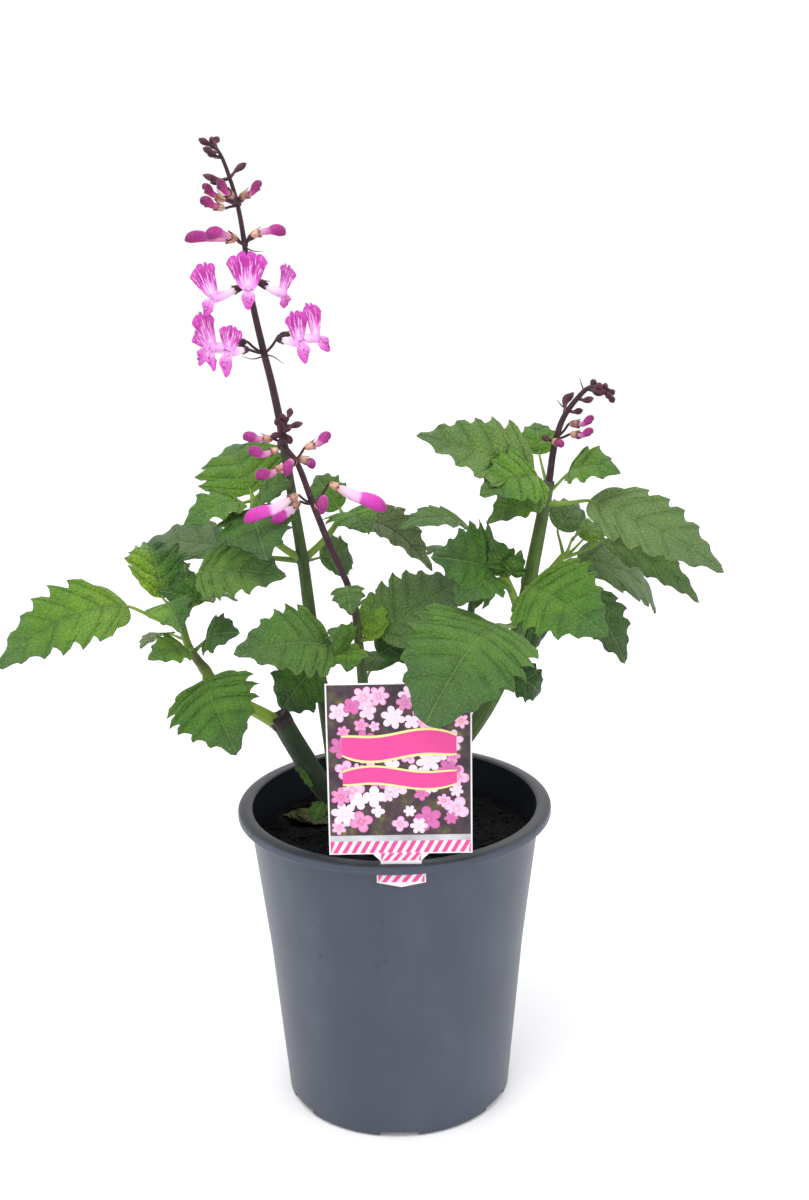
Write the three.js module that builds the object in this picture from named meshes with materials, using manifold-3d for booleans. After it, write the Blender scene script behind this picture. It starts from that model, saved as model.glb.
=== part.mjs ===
// A flowering plectranthus in a 200 mm nursery pot.
// Millimetres, +Z up. The origin is the centre of the pot's underside, and -Y is the front.
import * as THREE from 'three';
import { mergeVertices } from 'three/addons/utils/BufferGeometryUtils.js';
import Module from 'manifold-3d';

const wasm = await Module();
wasm.setup();

// Driving dimensions of the pot
const POT_HEIGHT = 200;
const POT_RIM_RADIUS = 100;
const POT_WALL = 2;
const POT_FLOOR = 6;
const POT_SIDES = 30;
const RIM_BAND_HEIGHT = 5.5;
const NOTCH_COUNT = 6;
const NOTCH_WIDTH = 25;
const NOTCH_HEIGHT = 4;
const NOTCH_DEPTH = 14;
const DRAIN_RADIUS = 6;
const DRAIN_RING = 62;

// Outer radius of the wall at each height, from the foot to just under the rim
const WALL_PROFILE = [
  [71.5, 0], [72.9, 2], [82, 105], [86.3, 141], [92.6, 193],
];

// Line of the rim from the top of the wall, over the hollow under its band, to its inner edge
const RIM_PROFILE = [
  [93.8, 196.6], [98.2, 196.6], [98.2, POT_HEIGHT - RIM_BAND_HEIGHT],
  [POT_RIM_RADIUS, POT_HEIGHT - RIM_BAND_HEIGHT], [POT_RIM_RADIUS, 198], [98, 199.2],
  [94, POT_HEIGHT], [90.8, 199],
];

// Driving dimensions of the label
const LABEL_X = 4;
const LABEL_Y = -95;
const LABEL_THICKNESS = 0.6;
const LABEL_WIDTH = 84;
const LABEL_BOTTOM = 206;
const LABEL_TOP = 312;
const LABEL_SHOULDER_WIDTH = 33;
const LABEL_SHOULDER_HEIGHT = 4.5;
const LABEL_NECK_WIDTH = 24;
const LABEL_TAB_WIDTH = 29;
const LABEL_TAB_BARB = 1.5;
const LABEL_TAB_EDGE = 5.5;
const LABEL_TAB_TIP = 184.5;
const SLOT_CLEARANCE = 0.5;

// Driving dimensions of the soil
const SOIL_LEVEL = 176;
const SOIL_BUMP = 1.6;
const SOIL_RINGS = 4;
const SOIL_SIDES = 20;
const GAP = 0.35;
const SPIKE_GAP = 0.7;
const HOLE_CLEARANCE = 1;
const HOLE_BOTTOM = 138;
const HOLE_SIDES = 8;

// Leaf habit that all leaves share
const BLADE_THICKNESS = 0.75;
const FRAME_STEPS = 120;
const TOOTH_START = 0.24;
const TOOTH_END = 0.9;
const VEIN_SHIFT = 0.1;
const TOOTH_FREE = 0.16;
const TOOTH_REACH = 1.1;
const NOTCH_REACH = 0.83;
const BROAD_BLADE = 56;
const PETIOLE_TIP_RADIUS = 1.1;

const COLOURS = {
  pot: 0x3b424d, soil: 0x1c1714, label: 0x54303f, withered: 0x5c5330,
  green: 0x4f8a35, spike: 0x46303a, bloom: 0xd964cf, bud: 0xb03a96,
};

const vec = (p) => new THREE.Vector3(p[0], p[1], p[2]);

// Booleans on closed geometries

function solid(geometry) {
  const plain = geometry.clone();
  plain.deleteAttribute('normal');
  plain.deleteAttribute('uv');
  const merged = mergeVertices(plain, 1e-4);
  return new wasm.Manifold(new wasm.Mesh({
    numProp: 3,
    vertProperties: new Float32Array(merged.attributes.position.array),
    triVerts: new Uint32Array(merged.index.array),
  }));
}

// Joins solids in one body. A loose scrap, where two thin edges graze, is dropped.
function fuse(solids) {
  const whole = solids.reduce((sum, piece) => sum.add(piece));
  return whole.decompose().sort((a, b) => b.volume() - a.volume())[0];
}

function named(name, body, colour, roughness) {
  const mesh = body.getMesh();
  const geometry = new THREE.BufferGeometry();
  geometry.setAttribute('position', new THREE.BufferAttribute(mesh.vertProperties, 3));
  geometry.setIndex(new THREE.BufferAttribute(mesh.triVerts, 1));
  geometry.computeVertexNormals();
  const material = new THREE.MeshStandardMaterial({ color: colour, roughness, metalness: 0 });
  const object = new THREE.Mesh(geometry, material);
  object.name = name;
  return object;
}

// A stalk is a cylinder bent along a smooth curve. Each of its rings has a place on the curve,
// as a fraction of its length, and a radius.
function stalk(points, rings, sides) {
  const curve = new THREE.CatmullRomCurve3(points.map(vec), false, 'centripetal');
  const frames = curve.computeFrenetFrames(FRAME_STEPS, false);
  const geometry = new THREE.CylinderGeometry(1, 1, 1, sides, rings.length - 1);
  const place = geometry.attributes.position;
  for (let i = 0; i < place.count; i += 1) {
    const [along, radius] = rings[Math.round((place.getY(i) + 0.5) * (rings.length - 1))];
    const step = Math.round(along * FRAME_STEPS);
    const centre = curve.getPointAt(along);
    centre.addScaledVector(frames.normals[step], -place.getX(i) * radius);
    centre.addScaledVector(frames.binormals[step], place.getZ(i) * radius);
    place.setXYZ(i, centre.x, centre.y, centre.z);
  }
  return solid(geometry);
}

// Rings at even steps, whose radius runs through the given radii from one end to the other
function evenRings(radii, steps) {
  return Array.from({ length: steps + 1 }, (_, k) => {
    const spot = (k / steps) * (radii.length - 1);
    const low = Math.min(Math.floor(spot), radii.length - 2);
    return [k / steps, THREE.MathUtils.lerp(radii[low], radii[low + 1], spot - low)];
  });
}

// A blade is a sheet of triangles given a thickness along its vertex normals,
// split into triangles alike on both faces and closed along its open edges.
function blade(vertices, triangles, thickness) {
  const normals = vertices.map(() => new THREE.Vector3());
  const edges = new Map();
  for (const [a, b, c] of triangles) {
    const side = vertices[b].clone().sub(vertices[a]);
    const normal = side.cross(vertices[c].clone().sub(vertices[a]));
    for (const [from, to] of [[a, b], [b, c], [c, a]]) {
      normals[from].add(normal);
      const twin = `${to},${from}`;
      if (edges.has(twin)) edges.delete(twin);
      else edges.set(`${from},${to}`, [from, to]);
    }
  }
  const count = vertices.length;
  const place = new Float32Array(count * 6);
  vertices.forEach((v, i) => {
    const half = normals[i].setLength(thickness / 2);
    v.clone().add(half).toArray(place, i * 3);
    v.clone().sub(half).toArray(place, (count + i) * 3);
  });
  const index = [];
  for (const [a, b, c] of triangles) index.push(a, b, c, count + c, count + b, count + a);
  for (const [a, b] of edges.values()) index.push(b, a, count + a, b, count + a, count + b);
  const geometry = new THREE.BufferGeometry();
  geometry.setAttribute('position', new THREE.BufferAttribute(place, 3));
  geometry.setIndex(index);
  return solid(geometry);
}

// Axes of a blade from its base, its tip and the way its upper face looks
function bladeAxes(base, tip, face) {
  const along = vec(tip).sub(vec(base));
  const length = along.length();
  along.normalize();
  const side = along.clone().cross(vec(face)).normalize();
  const up = side.clone().cross(along).normalize();
  return { base: vec(base), along, side, up, length };
}

// Point of a leaf at t along the midrib and x millimetres to the right of it.
// The midrib is a parabola that rises by arch towards the upper face, and both
// halves lean up by fold, as a shallow V, or down where fold is negative.
function leafPoint(leaf, axes, t, x) {
  const rise = leaf.arch * 4 * t * (1 - t);
  const point = axes.base.clone().addScaledVector(axes.along, axes.length * t);
  point.addScaledVector(axes.up, rise + leaf.fold * Math.abs(x));
  return point.addScaledVector(axes.side, x);
}

function halfWidth(leaf, t) {
  return (leaf.width / 2) * Math.sin(Math.PI * t ** leaf.taper) ** 0.9;
}

// Blade of a leaf with coarse teeth that point to the tip. Each station on the midrib has a tooth
// and a notch on either side. A broad blade also has a row of points between midrib and edge.
function leafBlade(leaf) {
  const axes = bladeAxes(leaf.base, leaf.tip, leaf.face);
  const vertices = [];
  const triangles = [];
  const put = (t, x) => vertices.push(leafPoint(leaf, axes, t, x)) - 1;
  const stations = [0.03];
  for (let i = 0; i < leaf.teeth; i += 1) {
    stations.push(TOOTH_START + ((TOOTH_END - TOOTH_START) * i) / (leaf.teeth - 0.5));
  }
  const rib = stations.map((t) => put(t * 0.94, 0));
  const apex = put(1, 0);
  rib.push(apex);
  for (const side of [-1, 1]) {
    const tri = (a, b, c) => triangles.push(side > 0 ? [a, b, c] : [a, c, b]);
    const tips = [];
    const notches = [];
    stations.forEach((t, i) => {
      const shift = VEIN_SHIFT * (1 - t);
      tips.push(put(t + shift, side * halfWidth(leaf, t + shift * 0.7) * (i === 0 ? 1 : TOOTH_REACH)));
      const next = (stations[i + 1] ?? 1) - 0.015;
      const notch = i === 0 ? TOOTH_FREE : t * 0.45 + next * 0.55 + shift * 0.4;
      const level = halfWidth(leaf, i === 0 ? TOOTH_FREE : (t + next) / 2);
      notches.push(put(notch, side * level * (i === 0 ? 0.98 : NOTCH_REACH)));
    });
    let middle = rib;
    if (leaf.width >= BROAD_BLADE) {
      middle = stations.map((t) => {
        const shift = VEIN_SHIFT * (1 - t);
        return put(t * 0.97 + shift / 3, side * halfWidth(leaf, t + shift / 2) * 0.52);
      });
      middle.push(apex);
      tri(rib[0], tips[0], middle[0]);
    }
    stations.forEach((_, i) => {
      const last = i === stations.length - 1;
      if (middle !== rib) {
        tri(rib[i], middle[i], rib[i + 1]);
        if (!last) tri(middle[i], middle[i + 1], rib[i + 1]);
      }
      tri(middle[i], tips[i], notches[i]);
      tri(middle[i], notches[i], middle[i + 1]);
      if (!last) tri(notches[i], tips[i + 1], middle[i + 1]);
    });
  }
  return blade(vertices, triangles, BLADE_THICKNESS);
}

// A leaf with its petiole, which runs from the stem into the underside of the blade
function leafSolid(leaf) {
  const axes = bladeAxes(leaf.base, leaf.tip, leaf.face);
  const under = (t) => leafPoint(leaf, axes, t, 0).addScaledVector(axes.up, -0.6);
  const route = [leaf.from, under(0.03).toArray(), under(0.12).toArray()];
  const radii = [leaf.width > 40 ? 2.3 : 1.7, PETIOLE_TIP_RADIUS];
  return leafBlade(leaf).add(stalk(route, evenRings(radii, 1), 3));
}

// What a leaf has where its row says nothing else. The smaller the taper, the nearer to its base
// a blade is widest.
const LEAF_HABIT = { arch: 6, fold: 0.12, taper: 0.72, teeth: 4, face: [0, -0.7, 0.7] };

// Leaves of the left cluster
const LEFT_LEAVES = [
  { from: [-125, -25, 325], base: [-158, -30, 341], tip: [-232, -62, 313], width: 44, arch: 18, teeth: 5 },
  { from: [-128, -24, 334], base: [-138, -20, 343], tip: [-152, 18, 368], width: 36,
    face: [0.3, -0.8, 0.4], fold: 0.4 },
  { from: [-128, -26, 333], base: [-135, -30, 342], tip: [-122, -62, 334], width: 28, teeth: 3 },
  { from: [-127, -23, 337], base: [-116, -23, 359], tip: [-61, -46, 362], width: 42, arch: 5, teeth: 5 },
  { from: [-114, -24, 299], base: [-114, -34, 295], tip: [-92, -72, 261], width: 55, arch: 7,
    face: [0, -0.9, 0.4], teeth: 5 },
  { from: [-121, -27, 312], base: [-124, -33, 315], tip: [-143, -58, 316], width: 24, teeth: 3, arch: 3 },
  { from: [-119, -25, 311], base: [-113, -28, 318], tip: [-90, -44, 327], width: 28, teeth: 3, arch: 4 },
  { from: [-126, -22, 329], base: [-121, -10, 336], tip: [-96, 12, 331], width: 22, teeth: 3,
    face: [0, 0.3, 1], arch: 4 },
  { from: [-124, -24, 317], base: [-136, -10, 317], tip: [-159, 14, 300], width: 18, teeth: 3,
    face: [0, 0.3, 1], arch: 3 },
  { from: [-127, -24, 331], base: [-126, -6, 333], tip: [-116, 42, 322], width: 40,
    face: [0, 0.2, 1], arch: 7 },
];

// Leaves of the main stem: a pair at the fork, one low, and those of both side shoots
const MAIN_LEAVES = [
  { from: [-54, 5, 358], base: [-104, 24, 362], tip: [-162, 58, 359], width: 40, face: [0, -0.3, 1] },
  { from: [-54, 5, 358], base: [-44, 16, 357], tip: [-24, 34, 350], width: 27, teeth: 3,
    face: [0, -0.8, 0.5] },
  { from: [-44, 4, 290], base: [-48, 5, 289], tip: [-71, 8, 259], width: 38, teeth: 3,
    face: [-0.1, -0.9, 0.4] },
  { from: [-45, 6, 290], base: [-50, 24, 294], tip: [-72, 66, 284], width: 42, face: [0, 0.2, 1] },
  { from: [-82, -4, 399], base: [-84, 2, 402], tip: [-98, 42, 424], width: 54, face: [-0.15, -0.7, 0.7] },
  { from: [-82, -4, 399], base: [-79, -5, 403], tip: [-57, -17, 411], width: 26, teeth: 3, arch: 3 },
  { from: [-82, -4, 399], base: [-88, -9, 399], tip: [-122, -34, 389], width: 28, teeth: 3,
    face: [-0.1, -0.5, 0.85] },
  { from: [-82, -4, 399], base: [-83, -13, 398], tip: [-71, -62, 380], width: 46,
    face: [0, -0.75, 0.65] },
  { from: [-29, 18, 384], base: [-31, 21, 387], tip: [-47, 50, 402], width: 24, teeth: 3, arch: 3,
    face: [-0.3, -0.7, 0.6] },
  { from: [-29, 18, 384], base: [-27, 14, 386], tip: [-13, -15, 380], width: 38, arch: 4,
    face: [0.1, -0.6, 0.8] },
  { from: [-29, 18, 384], base: [-24, 26, 378], tip: [27, 64, 334], width: 36, arch: 14, teeth: 5,
    face: [0, 0.8, 0.6] },
];

// Leaves of the second stem: the broad pair, young leaves in the middle and shaded ones behind
const SECOND_LEAVES = [
  { from: [-19, -25, 312], base: [-35, -36, 316], tip: [-91, -72, 324], width: 47, arch: 7, teeth: 5,
    face: [0, -0.75, 0.65] },
  { from: [-19, -25, 316], base: [-7, -25, 318], tip: [45, 16, 341], width: 50, arch: 5, teeth: 5,
    face: [0, -0.8, 0.55] },
  { from: [-18, -25, 316], base: [-11, -28, 317], tip: [-12, -4, 340], width: 20, teeth: 3, arch: 3,
    face: [0, -0.9, 0.4] },
  { from: [-23, -27, 345], base: [-26, -33, 352], tip: [-23, -50, 339], width: 20, teeth: 3, arch: 3,
    face: [0, -0.8, 0.5] },
  { from: [-19, -25, 308], base: [-25, -34, 315], tip: [-37, -46, 329], width: 24, teeth: 3, arch: 3,
    face: [-0.1, -0.8, 0.5] },
  { from: [-19, -25, 306], base: [-25, -34, 313], tip: [-26, -54, 305], width: 24, teeth: 3, arch: 3,
    face: [0, -0.7, 0.7] },
  { from: [-18, -24, 300], base: [-8, -18, 304], tip: [18, 6, 304], width: 30, arch: 4,
    face: [0.1, -0.6, 0.8] },
  { from: [-18, -24, 286], base: [-14, -8, 290], tip: [4, 36, 284], width: 38, face: [0, 0.2, 1],
    teeth: 3 },
];

// Leaves of the thin stem right of the middle: one to the left and one to the back
const MID_LEAVES = [
  { from: [57, 14, 370], base: [50, 13, 375], tip: [5, -22, 384], width: 26, arch: 8,
    face: [0, -0.4, 0.9] },
  { from: [55, 14, 352], base: [50, 24, 352], tip: [24, 60, 346], width: 34, face: [0, 0.2, 1],
    teeth: 3 },
];

// Leaves of the right stem from the soil up
const RIGHT_LEAVES = [
  { from: [77, -6, 318], base: [66, -46, 331], tip: [30, -121, 292], width: 76, arch: 16, teeth: 6,
    taper: 0.85, face: [0, -0.75, 0.65] },
  { from: [78, -6, 316], base: [80, -2, 318], tip: [94, 14, 300], width: 30, teeth: 3,
    face: [0.2, -0.9, 0.3] },
  { from: [67, -8, 284], base: [74, -6, 287], tip: [93, 8, 267], width: 24, teeth: 3,
    face: [0.2, -0.9, 0.4] },
  { from: [70, -12, 350], base: [64, -14, 356], tip: [25, -50, 374], width: 48, arch: 5, teeth: 5,
    face: [-0.1, -0.9, 0.4] },
  { from: [70, -12, 350], base: [65, -20, 352], tip: [38, -62, 348], width: 32, arch: 4,
    face: [0, -0.6, 0.8] },
  { from: [84, -5, 338], base: [82, -26, 348], tip: [126, -68, 329], width: 58, arch: 8, teeth: 5,
    face: [0, -0.75, 0.65] },
  { from: [102, 1, 354], base: [115, 0, 338], tip: [142, -30, 300], width: 34,
    face: [0.3, -0.7, 0.6] },
  { from: [104, 2, 354], base: [118, 26, 351], tip: [173, 60, 304], width: 44, arch: 12,
    face: [0.1, -0.55, 0.85] },
  { from: [94, -4, 396], base: [88, -12, 412], tip: [17, -34, 443], width: 50, arch: 4, teeth: 5,
    taper: 0.6, fold: 0.24, face: [0, -0.66, 0.75] },
  { from: [94, -4, 398], base: [90, -16, 413], tip: [53, -46, 410], width: 40,
    face: [0, -0.75, 0.65] },
  { from: [94, -4, 396], base: [92, -14, 400], tip: [58, -32, 389], width: 24, teeth: 3,
    face: [0.1, -0.6, 0.8] },
  { from: [96, -4, 404], base: [92, 8, 422], tip: [91, 28, 438], width: 24, teeth: 3, arch: 3,
    face: [0, -0.8, 0.5] },
  { from: [96, -4, 400], base: [108, -2, 412], tip: [138, -20, 415], width: 30, teeth: 3, arch: 7,
    face: [0, -0.6, 0.8] },
  { from: [94, -4, 394], base: [88, 8, 394], tip: [67, 42, 382], width: 24, teeth: 3,
    face: [0, 0.8, 0.6] },
  { from: [95, -4, 394], base: [121, -10, 397], tip: [197, -46, 361], width: 42, arch: 6, teeth: 5,
    face: [0.1, -0.7, 0.7] },
  { from: [107, 2, 358], base: [133, 6, 368], tip: [190, -8, 331], width: 26, arch: 7,
    face: [0.2, -0.6, 0.75] },
  { from: [107, 2, 358], base: [104, 12, 374], tip: [118, 34, 386], width: 26, teeth: 3, arch: 3,
    face: [0.1, -0.8, 0.5] },
  { from: [107, 2, 358], base: [112, 0, 370], tip: [117, -10, 391], width: 16, teeth: 3, arch: 2,
    face: [0.8, -0.5, 0.2] },
  { from: [107, 2, 358], base: [120, 16, 366], tip: [134, 42, 369], width: 22, teeth: 3, arch: 3 },
];

// Small leaves low on the left stem
const BASAL_LEAVES = [
  { from: [-46, -8, 214], base: [-49, -10, 218], tip: [-62, -18, 230], width: 15, teeth: 3, arch: 2 },
  { from: [-42, -8, 206], base: [-45, -12, 204], tip: [-52, -22, 194], width: 12, teeth: 3, arch: 2 },
];

// Routes of the stems from their buried ends to their tops, with the radii spread over the length
const STEMS = {
  left: { route: [[-18, -5, 140], [-18, -5, 172], [-18, -5, 182], [-27, -6, 193], [-44, -8, 211],
    [-59, -10, 238], [-71, -12, 262]], radii: [6.6, 7, 6.4], sides: 8 },
  leftShoot: { route: [[-62, -11, 246], [-74, -12, 259], [-92, -16, 272], [-106, -20, 284],
    [-115, -24, 299], [-123, -26, 313], [-126, -26, 325], [-129, -24, 341]],
    radii: [5, 3.2, 1.8], sides: 6 },
  main: { route: [[-34, 8, 140], [-34, 8, 160], [-34, 8, 180], [-38, 5, 215], [-44, 4, 270],
    [-49, 5, 307], [-54, 5, 358], [-59, 5, 397], [-65, 5, 445]],
    radii: [4.4, 4.4, 4.2, 4, 3.8, 3.7, 3.3, 2.8, 2.4], sides: 8 },
  mainLeft: { route: [[-54, 5, 358], [-72, 0, 374], [-82, -4, 399]], radii: [2.4, 1.6], sides: 5 },
  mainRight: { route: [[-54, 5, 358], [-40, 12, 370], [-29, 18, 384]], radii: [2.4, 1.6], sides: 5 },
  second: { route: [[-12, -22, 140], [-12, -22, 160], [-12, -22, 178], [-15, -22, 211],
    [-18, -24, 290], [-20, -25, 316], [-22, -26, 338], [-26, -26, 352]],
    radii: [3.7, 3.6, 3.5, 3.4, 3.3, 3.1, 2.4, 1.9], sides: 8 },
  mid: { route: [[22, 14, 140], [22, 14, 160], [22, 14, 178], [29, 12, 204], [40, 13, 263],
    [48, 14, 302], [51, 14, 328], [56, 14, 354], [57, 14, 374]], radii: [3.6, 2.8, 1.8], sides: 6 },
  right: { route: [[8, -6, 140], [8, -6, 160], [8, -6, 178], [23, -8, 216], [46, -9, 246],
    [60, -9, 268], [70, -8, 289], [79, -6, 316], [88, -4, 359], [97, -4, 408]],
    radii: [5.2, 5.2, 5, 4.8, 3.6], sides: 8 },
  rightShoot: { route: [[85, -5, 342], [97, -1, 349], [107, 2, 360]], radii: [3, 2], sides: 5 },
  rightFront: { route: [[80, -6, 322], [75, -10, 338], [69, -12, 353]], radii: [2.8, 2], sides: 5 },
};

function stemSolid({ route, radii, sides }) {
  return stalk(route, evenRings(radii, route.length - 1), sides);
}

// A leafy stem: its stems and every leaf that grows on them, as one body
function leafyStem(name, stems, leaves) {
  const grown = leaves.map((leaf) => leafSolid({ ...LEAF_HABIT, ...leaf }));
  return named(name, fuse([...stems.map(stemSolid), ...grown]), COLOURS.green, 0.6);
}

// Flower axes. Each goes on from the top of its stem.
const SPIKES = {
  main: { stem: STEMS.main, route: [[-69.5, 5, 470], [-73, 5, 486], [-80, 5, 524], [-82, 4, 550],
    [-85, 3, 573], [-89, 2, 589], [-93, 0, 601], [-97, -2, 608]], radii: [2.3, 2, 1.7, 1.3, 0.9] },
  second: { stem: STEMS.second, route: [[-36, -26, 376], [-45, -26, 401], [-54, -24, 426],
    [-62, -22, 438], [-61, -20, 446], [-59, -18, 452]], radii: [1.9, 1.9, 1.7, 1] },
  right: { stem: STEMS.right, route: [[99, -4, 424], [101, -4, 434], [105, -4, 446], [112, -6, 457],
    [120, -8, 465], [126, -10, 465], [132, -12, 459]], radii: [2.6, 2.2, 1.8, 1.1] },
};

// Open flowers: the node on the axis, the mouth of the calyx, the throat of the tube, the top of
// the upper lip, the tip of the lower lip and the span of the upper lip
const BLOOMS = {
  bloom_main_1: { spike: 'main', node: [-73, 5, 486], neck: [-84, -10, 491], throat: [-92, -22, 492],
    lip: [-89, -25, 505], tongue: [-93, -30, 479], span: 15 },
  bloom_main_2: { spike: 'main', node: [-73, 5, 486], neck: [-87, -2, 494], throat: [-103, -6, 492],
    lip: [-108, -9, 511], tongue: [-102, -14, 480], span: 17 },
  bloom_main_3: { spike: 'main', node: [-73, 5, 486], neck: [-88, 8, 489], throat: [-107, 10, 490],
    lip: [-114, 13, 499], tongue: [-113, 8, 480], span: 14 },
  bloom_main_4: { spike: 'main', node: [-73, 5, 486], neck: [-61, -6, 496], throat: [-50, -15, 496],
    lip: [-52, -20, 512], tongue: [-47, -22, 485], span: 14 },
  bloom_main_5: { spike: 'main', node: [-73, 5, 486], neck: [-59, 4, 497], throat: [-41, 6, 495],
    lip: [-44, 7, 514], tongue: [-34, 4, 488], span: 13 },
  bloom_main_6: { spike: 'main', node: [-80, 5, 524], neck: [-88, 0, 525], throat: [-101, -8, 521],
    lip: [-107, -8, 539], tongue: [-105, -14, 512], span: 19 },
  bloom_main_7: { spike: 'main', node: [-80, 5, 524], neck: [-81, -6, 526], throat: [-79, -17, 526],
    lip: [-79, -21, 546], tongue: [-79, -25, 517], span: 24 },
  bloom_main_8: { spike: 'main', node: [-80, 5, 524], neck: [-72, 8, 527], throat: [-61, 12, 521],
    lip: [-57, 15, 536], tongue: [-60, 10, 513], span: 14 },
};

// Closed buds: the node on the axis, the mouth of the calyx, the bend of the tube, the end of the
// hood and the radius of the hood
const BUDS = {
  bud_main_1: { spike: 'main', node: [-82, 4, 550], neck: [-91, 1, 554], bend: [-104, 0, 555],
    end: [-116, -3, 555], girth: 3.6 },
  bud_main_2: { spike: 'main', node: [-82, 4, 550], neck: [-89, -5, 556], bend: [-95, -11, 558],
    end: [-102, -15, 557], girth: 3.8 },
  bud_main_3: { spike: 'main', node: [-82, 4, 550], neck: [-74, 4, 557], bend: [-69, 4, 558],
    end: [-58, 4, 557], girth: 3.6 },
  bud_main_4: { spike: 'main', node: [-85, 3, 573], neck: [-96, -3, 573], bend: [-99, -5, 574],
    end: [-105, -8, 576], girth: 3.4 },
  bud_main_5: { spike: 'main', node: [-85, 3, 573], neck: [-96, 4, 578], bend: [-100, 4, 580],
    end: [-105, 3, 584], girth: 3.2 },
  bud_main_6: { spike: 'main', node: [-85, 3, 573], neck: [-89, -5, 580], bend: [-91, -8, 582],
    end: [-95, -11, 587], girth: 3.2 },
  bud_main_7: { spike: 'main', node: [-85, 3, 573], neck: [-80, 5, 579], bend: [-77, 6, 580],
    end: [-71, 7, 585], girth: 3.2 },
  bud_second_1: { spike: 'second', node: [-45, -26, 401], neck: [-57, -36, 407], bend: [-70, -43, 402],
    end: [-84, -48, 399], girth: 4.2 },
  bud_second_2: { spike: 'second', node: [-45, -26, 401], neck: [-56, -25, 400], bend: [-62, -26, 397],
    end: [-71, -27, 394], girth: 4.2 },
  bud_second_3: { spike: 'second', node: [-45, -26, 401], neck: [-41, -35, 403], bend: [-38, -41, 407],
    end: [-39, -47, 401], girth: 3.4 },
  bud_second_4: { spike: 'second', node: [-45, -26, 401], neck: [-31, -24, 411], bend: [-15, -26, 403],
    end: [-2, -28, 398], girth: 4.6 },
  bud_second_5: { spike: 'second', node: [-54, -24, 426], neck: [-65, -30, 423], bend: [-69, -32, 421],
    end: [-77, -36, 420], girth: 3.6 },
  bud_second_6: { spike: 'second', node: [-54, -24, 426], neck: [-56, -33, 428], bend: [-57, -37, 429],
    end: [-59, -43, 423], girth: 3.2 },
  bud_second_7: { spike: 'second', node: [-54, -24, 426], neck: [-50, -17, 426], bend: [-48, -16, 425],
    end: [-45, -14, 421], girth: 3 },
  bud_second_8: { spike: 'second', node: [-62, -22, 438], neck: [-72, -22, 440], bend: [-77, -22, 440],
    end: [-85, -22, 441], girth: 3.4 },
  bud_second_9: { spike: 'second', node: [-62, -22, 438], neck: [-68, -31, 434], bend: [-73, -34, 433],
    end: [-81, -38, 436], girth: 3.4 },
  bud_second_10: { spike: 'second', node: [-55, -24, 427], neck: [-45, -19, 435], bend: [-41, -18, 436],
    end: [-34, -16, 440], girth: 3.6 },
  bud_right_1: { spike: 'right', node: [101, -4, 434], neck: [113, -6, 443], bend: [117, -7, 443],
    end: [123, -9, 447], girth: 2.6 },
  bud_right_2: { spike: 'right', node: [100, -4, 433], neck: [113, -9, 437], bend: [116, -11, 437],
    end: [122, -14, 440], girth: 2.6 },
  bud_right_3: { spike: 'right', node: [99, -4, 432], neck: [101, -12, 433], bend: [102, -14, 433],
    end: [103, -18, 432], girth: 2.4 },
};

// The smallest closed buds, still dark, on their short pedicels: node, foot and tip
const SMALL_BUDS = {
  main: [
    [[-82, 4, 550], [-80, 8, 553], [-75, 11, 557]],
    [[-85, 3, 573], [-88, -2, 576], [-91, -4, 579]],
    [[-85, 3, 573], [-83, 6, 576], [-82, 8, 580]],
    [[-89, 2, 589], [-95, 0, 588], [-104, -3, 591]],
    [[-89, 2, 589], [-95, 5, 587], [-101, 7, 586]],
    [[-89, 2, 589], [-85, 3, 593], [-79, 4, 597]],
    [[-93, 0, 601], [-95, -1, 601], [-101, -4, 604]],
    [[-95, -1, 604], [-98, -3, 604], [-103, -5, 606]],
    [[-96, -2, 606], [-100, 0, 608], [-106, 2, 611]],
    [[-96, -2, 606], [-97, 1, 608], [-99, 4, 612]],
    [[-96, -2, 606], [-96, -1, 609], [-94, 0, 612]],
  ],
  second: [
    [[-61, -20, 444], [-58, -18, 446], [-50, -16, 448]],
    [[-61, -20, 444], [-62, -26, 446], [-62, -30, 452]],
    [[-61, -20, 444], [-64, -24, 443], [-69, -27, 442]],
    [[-61, -20, 446], [-60, -15, 444], [-58, -10, 446]],
    [[-60, -19, 450], [-58, -17, 453], [-57, -15, 457]],
  ],
  right: [
    [[99, -4, 433], [96, -7, 434], [92, -11, 437]],
    [[108, -5, 451], [106, -3, 456], [109, -2, 461]],
    [[108, -5, 451], [112, -4, 450], [117, -4, 451]],
    [[114, -6, 459], [117, -11, 458], [122, -15, 460]],
    [[120, -8, 465], [122, -13, 464], [127, -17, 462]],
    [[120, -8, 465], [123, -6, 467], [126, -4, 471]],
    [[126, -10, 465], [129, -8, 464], [133, -6, 461]],
    [[130, -11, 462], [132, -13, 459], [134, -15, 454]],
  ],
};

const CALYX_LENGTH = 4.5;

// How far the lips of a flower turn to the light at the front
const BLOOM_TURN = 0.8;

// Pedicel that widens to a flat-ended calyx, part of the spike
function calyxSolid({ node, neck, throat, bend }) {
  const way = vec(throat ?? bend).sub(vec(neck)).normalize();
  const foot = vec(neck).addScaledVector(way, -CALYX_LENGTH).toArray();
  const stem = vec(node).distanceTo(vec(foot));
  const joint = stem / (stem + CALYX_LENGTH);
  return stalk([node, foot, neck], [[0, 0.8], [joint, 0.8], [1, 2.1]], 4);
}

function smallBudSolid(route) {
  return stalk(route, [[0, 0.7], [0.65, 2], [1, 0.6]], 4);
}

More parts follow.
